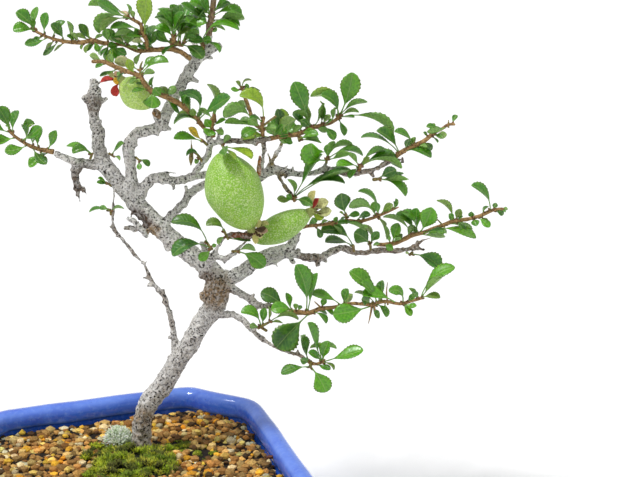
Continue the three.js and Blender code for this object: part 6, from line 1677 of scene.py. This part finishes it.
def moss_shoot(shape, place, up, height, colour, rng):
    """One star-shaped moss shoot of four narrow leaves, each a closed blade."""
    side, other = crosswise(up)
    spin = rng.uniform(0, 6.28)
    for k in range(BLADES):
        angle = spin + k * math.pi / 2
        out = side * math.cos(angle) + other * math.sin(angle)
        across = up.cross(out) * BLADE_HALF
        middle = place + up * height * BLADE_MIDDLE[0] + out * height * BLADE_MIDDLE[1]
        tip = place + up * height * rng.uniform(*BLADE_TALL) + out * height * rng.uniform(*BLADE_REACH)
        # The foot's near black is painted shade deep in the cushion.
        low = shape.point(place, blended(colour, linear(BLADE_FOOT_SHADE), FOOT_SHADE_COVER))
        left = shape.point(middle - across, colour)
        right = shape.point(middle + across, colour)
        top = shape.point(tip, blended(colour, linear(BLADE_TIP), TIP_COVER))
        for corners in ((low, right, left), (left, right, top), (low, left, top), (low, top, right)):
            shape.face(corners)


def lump(x, y):
    """The lumps of a cushion's dome, in millimetres."""
    return noise.noise(Vector((x, y, 0)) / DOME_CELL) * DOME_LUMP


def cushion_dome(shape, spec, tint):
    """The soft dome under a cushion's shoots, down to the soil."""
    rng = random.Random(spec.name)
    loops = []
    for i in range(DOME_RINGS):
        angle = math.pi / 2 * i / DOME_RINGS
        loop = []
        for k in range(DOME_SIDES):
            around = 2 * math.pi * k / DOME_SIDES
            rim = noise.noise(Vector((math.cos(around) * 2, math.sin(around) * 2, spec.x)))
            ragged = RIM_MEAN + RIM_SWING * rim
            x = spec.x + spec.half_x * math.cos(angle) * math.cos(around) * ragged
            y = spec.y + spec.half_y * math.cos(angle) * math.sin(around) * ragged
            z = SOIL_TOP - DOME_SUNK + (spec.height * DOME_SHARE + lump(x, y)) * math.sin(angle)
            loop.append(shape.point(ground(x, y, z), varied(tint, rng, spread=0.15)))
        loops.append(loop)
    shape.rings(loops)


def cushion_top(spec, x, y):
    """Height of a cushion's dome over a point."""
    far = ((x - spec.x) / spec.half_x) ** 2 + ((y - spec.y) / spec.half_y) ** 2
    rise = (spec.height * DOME_SHARE + lump(x, y)) * math.sqrt(max(0.0, 1 - far))
    return max(SOIL_TOP - DOME_LEAST, SOIL_TOP - DOME_SUNK + rise)


def over(spec, reach, around):
    """The point of the bed at a share of a cushion's half widths from its middle."""
    x = spec.x + spec.half_x * reach * math.cos(around)
    return x, spec.y + spec.half_y * reach * math.sin(around)


def moss_tuft(shape, spec, rng):
    """A tuft of shoots that lean apart, where there is moss."""
    x, y = over(spec, *strewn(rng, TUFT_REACH))
    if moss_cover(x, y) < TUFT_COVER:
        return
    colour = linear(rng.choice(MOSS_COLOURS))
    tall = rng.uniform(*TUFT_TALL) * min(1.0, spec.height / TUFT_FULL)
    for _ in range(TUFT_SHOOTS):
        off, turn = strewn(rng, TUFT_RADIUS)
        px, py = x + off * math.cos(turn), y + off * math.sin(turn)
        if math.hypot(px, py) < BARE_RING:
            continue
        crown = tall * TUFT_CROWN * (1 - off / TUFT_RADIUS)
        place = ground(px, py, cushion_top(spec, px, py) + crown)
        up = Vector((math.cos(turn) * off * TUFT_LEAN, math.sin(turn) * off * TUFT_LEAN, 1.0))
        up = (up + jitter(rng, reach=0.3)).normalized()
        long = tall * rng.uniform(*SHOOT_TALL) * MM
        moss_shoot(shape, place, up, long, varied(colour, rng, spread=0.35), rng)


def lichen_branch(shape, spec, rng):
    """One mealy branch, which stands out of the lichen's dome."""
    reach, around = strewn(rng, 1.0)
    x, y = over(spec, reach, around)
    rise = math.sqrt(max(0.0, 1 - reach * reach))
    place = ground(x, y, SOIL_TOP - BRANCH_DROP + spec.height * BRANCH_DOME * rise)
    up = Vector((math.cos(around) * reach, math.sin(around) * reach, BRANCH_RISE + rise)).normalized()
    pale = varied(linear(rng.choice(LICHEN_COLOURS)), rng, spread=0.08)
    long = rng.uniform(1.0, 2.2)
    run = thread(place, up, long, jitter(rng, reach=0.8) * MM, BRANCH_MARKS)
    tube(shape, run, sides=5, tint=pale)


class BONSAI_OT_moss(bpy.types.Operator):
    """Plant the moss and the lichen"""

    bl_idname = "bonsai.moss"
    bl_label = "Moss and lichen"

    def execute(self, context):
        settings = context.scene.bonsai_ground
        # Moss leaves, one cell thick and moist: soft, with a little shine. Their cells, finer than 0.1 mm in
        # life, are drawn as clouds of 0.9 mm.
        blade = plain_material("moss_leaf", None, roughness=0.65, size=0.9, depth=0.1, dark="#c4cca8")
        # Lichen branches, dry and mealy: powdery white-green without any shine. The meal, 0.1 mm in life, is
        # drawn at 0.7 mm.
        crust = plain_material("lichen_crust", None, roughness=0.95, size=0.7, depth=0.1, dark="#eef2e8")
        area = sum(moss.half_x * moss.half_y for moss in MOSSES)
        for spec in MOSSES + (LICHEN,):
            rng = random.Random(spec.name + "_shoots")
            shape = Shape()
            is_moss = spec in MOSSES
            # Under the moss the dome's near black is painted shade between the shoots.
            cushion_dome(shape, spec, linear(MOSS_DOME_SHADE if is_moss else LICHEN_BASE))
            if is_moss:
                for _ in range(round(settings.moss_shoots * spec.half_x * spec.half_y / area / TUFT_SHOOTS)):
                    moss_tuft(shape, spec, rng)
            else:
                for _ in range(BRANCHES):
                    lichen_branch(shape, spec, rng)
            piece = shape.build(spec.name + "_looks", [blade if is_moss else crust])
            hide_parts(spec.name)
        return {"FINISHED"}


class BONSAI_OT_drainage(bpy.types.Operator):
    """Finish the drainage meshes and their wires"""

    bl_idname = "bonsai.drainage"
    bl_label = "Drainage"

    def execute(self, context):
        # Polypropylene moulded in one shot: black with a waxy sheen, and faint sink marks 1.2 mm wide.
        plastic = plain_material(
            "moulded_polypropylene", "#1c1d1f", roughness=0.5, size=1.2, depth=0.05, dark="#8c8c8c",
        )
        # Aluminium wire, drawn and then anodised brown: a satin metal shine. The marks of its drawing, finer
        # than 0.1 mm in life, are shown at 0.6 mm.
        wire = plain_material(
            "anodised_aluminium", "#8a5f3c", roughness=0.35, size=0.6, depth=0.02, dark="#e0e0e0",
            metallic=1.0,
        )
        for number in (1, 2):
            refinish(f"drain_mesh_{number}", plastic)
            refinish(f"drain_wire_{number}", wire)
        return {"FINISHED"}


# The stage: half the floor's width and its height just under the pot, in metres; the light from all round;
# and the soft key light, its width in degrees and how far up, to the left and to the viewer it stands.
FLOOR_HALF = 20.0
FLOOR_Z = -0.0002
WORLD_STRENGTH = 0.6
KEY_STRENGTH = 1.95
KEY_WIDTH = 11
KEY_UP, KEY_LEFT, KEY_NEAR = 0.85, 0.38, 0.42


class BONSAI_OT_stage(bpy.types.Operator):
    """Set the floor, the lights and the camera"""

    bl_idname = "bonsai.stage"
    bl_label = "Stage"

    def execute(self, context):
        scene = context.scene
        mesh = bpy.data.meshes.new("floor")
        corners = ((-1, -1), (1, -1), (1, 1), (-1, 1))
        mesh.from_pydata([(x * FLOOR_HALF, y * FLOOR_HALF, FLOOR_Z) for x, y in corners], [], [(0, 1, 2, 3)])
        # Board under white emulsion paint: flat white, so only soft shadows show on it.
        material, tree, place, _ = new_material("painted_board")
        colour, _ = patched(tree, place, linear("#fdfdfd"), "#fafafa", size=40.0, low=0.4, high=0.6)
        finish_material(tree, colour, 0.95)
        mesh.materials.append(material)
        floor = bpy.data.objects.new("floor", mesh)
        scene.collection.objects.link(floor)
        world = bpy.data.worlds.new("studio")
        world.use_nodes = True
        background = world.node_tree.nodes["Background"]
        background.inputs["Color"].default_value = WHITE
        background.inputs["Strength"].default_value = WORLD_STRENGTH
        scene.world = world
        light = bpy.data.lights.new("key", "SUN")
        light.energy = KEY_STRENGTH
        light.angle = math.radians(KEY_WIDTH)
        lamp = bpy.data.objects.new("key", light)
        towards = UPWARD * KEY_UP - ACROSS * KEY_LEFT - LOOK * KEY_NEAR
        lamp.rotation_euler = towards.to_track_quat("Z", "Y").to_euler()
        scene.collection.objects.link(lamp)
        data = bpy.data.cameras.new("camera")
        data.sensor_width = SENSOR
        data.lens = SENSOR * DISTANCE / PICTURE_SPAN
        camera = bpy.data.objects.new("camera", data)
        turn = Matrix((ACROSS, UPWARD, -LOOK)).transposed().to_4x4()
        camera.matrix_world = Matrix.Translation(FOOT + OBSERVER * MM) @ turn
        scene.collection.objects.link(camera)
        scene.camera = camera
        scene.view_settings.view_transform = "Standard"
        return {"FINISHED"}


STEPS = ("wood", "leafage", "fruits", "pot", "soil", "moss", "drainage", "stage")


class BONSAI_PT_panel(bpy.types.Panel):
    """Lists the settings and the steps in the 3D view's sidebar"""

    bl_idname = "BONSAI_PT_panel"
    bl_label = "Quince bonsai"
    bl_space_type = "VIEW_3D"
    bl_region_type = "UI"
    bl_category = "Bonsai"

    def draw(self, context):
        for group in (context.scene.bonsai_tree, context.scene.bonsai_ground):
            for name in group.bl_rna.properties.keys():
                if name not in ("rna_type", "name"):
                    self.layout.prop(group, name)
        for step in STEPS:
            self.layout.operator("bonsai." + step)


CLASSES = (
    BonsaiTreeSettings, BonsaiGroundSettings, BONSAI_OT_wood, BONSAI_OT_leafage, BONSAI_OT_fruits,
    BONSAI_OT_pot, BONSAI_OT_soil, BONSAI_OT_moss, BONSAI_OT_drainage, BONSAI_OT_stage, BONSAI_PT_panel,
)


def register():
    for item in CLASSES:
        bpy.utils.register_class(item)
    bpy.types.Scene.bonsai_tree = bpy.props.PointerProperty(type=BonsaiTreeSettings)
    bpy.types.Scene.bonsai_ground = bpy.props.PointerProperty(type=BonsaiGroundSettings)


def unregister():
    del bpy.types.Scene.bonsai_ground
    del bpy.types.Scene.bonsai_tree
    for item in reversed(CLASSES):
        bpy.utils.unregister_class(item)


def main():
    register()
    for step in STEPS:
        getattr(bpy.ops.bonsai, step)()


if __name__ == "__main__":
    main()
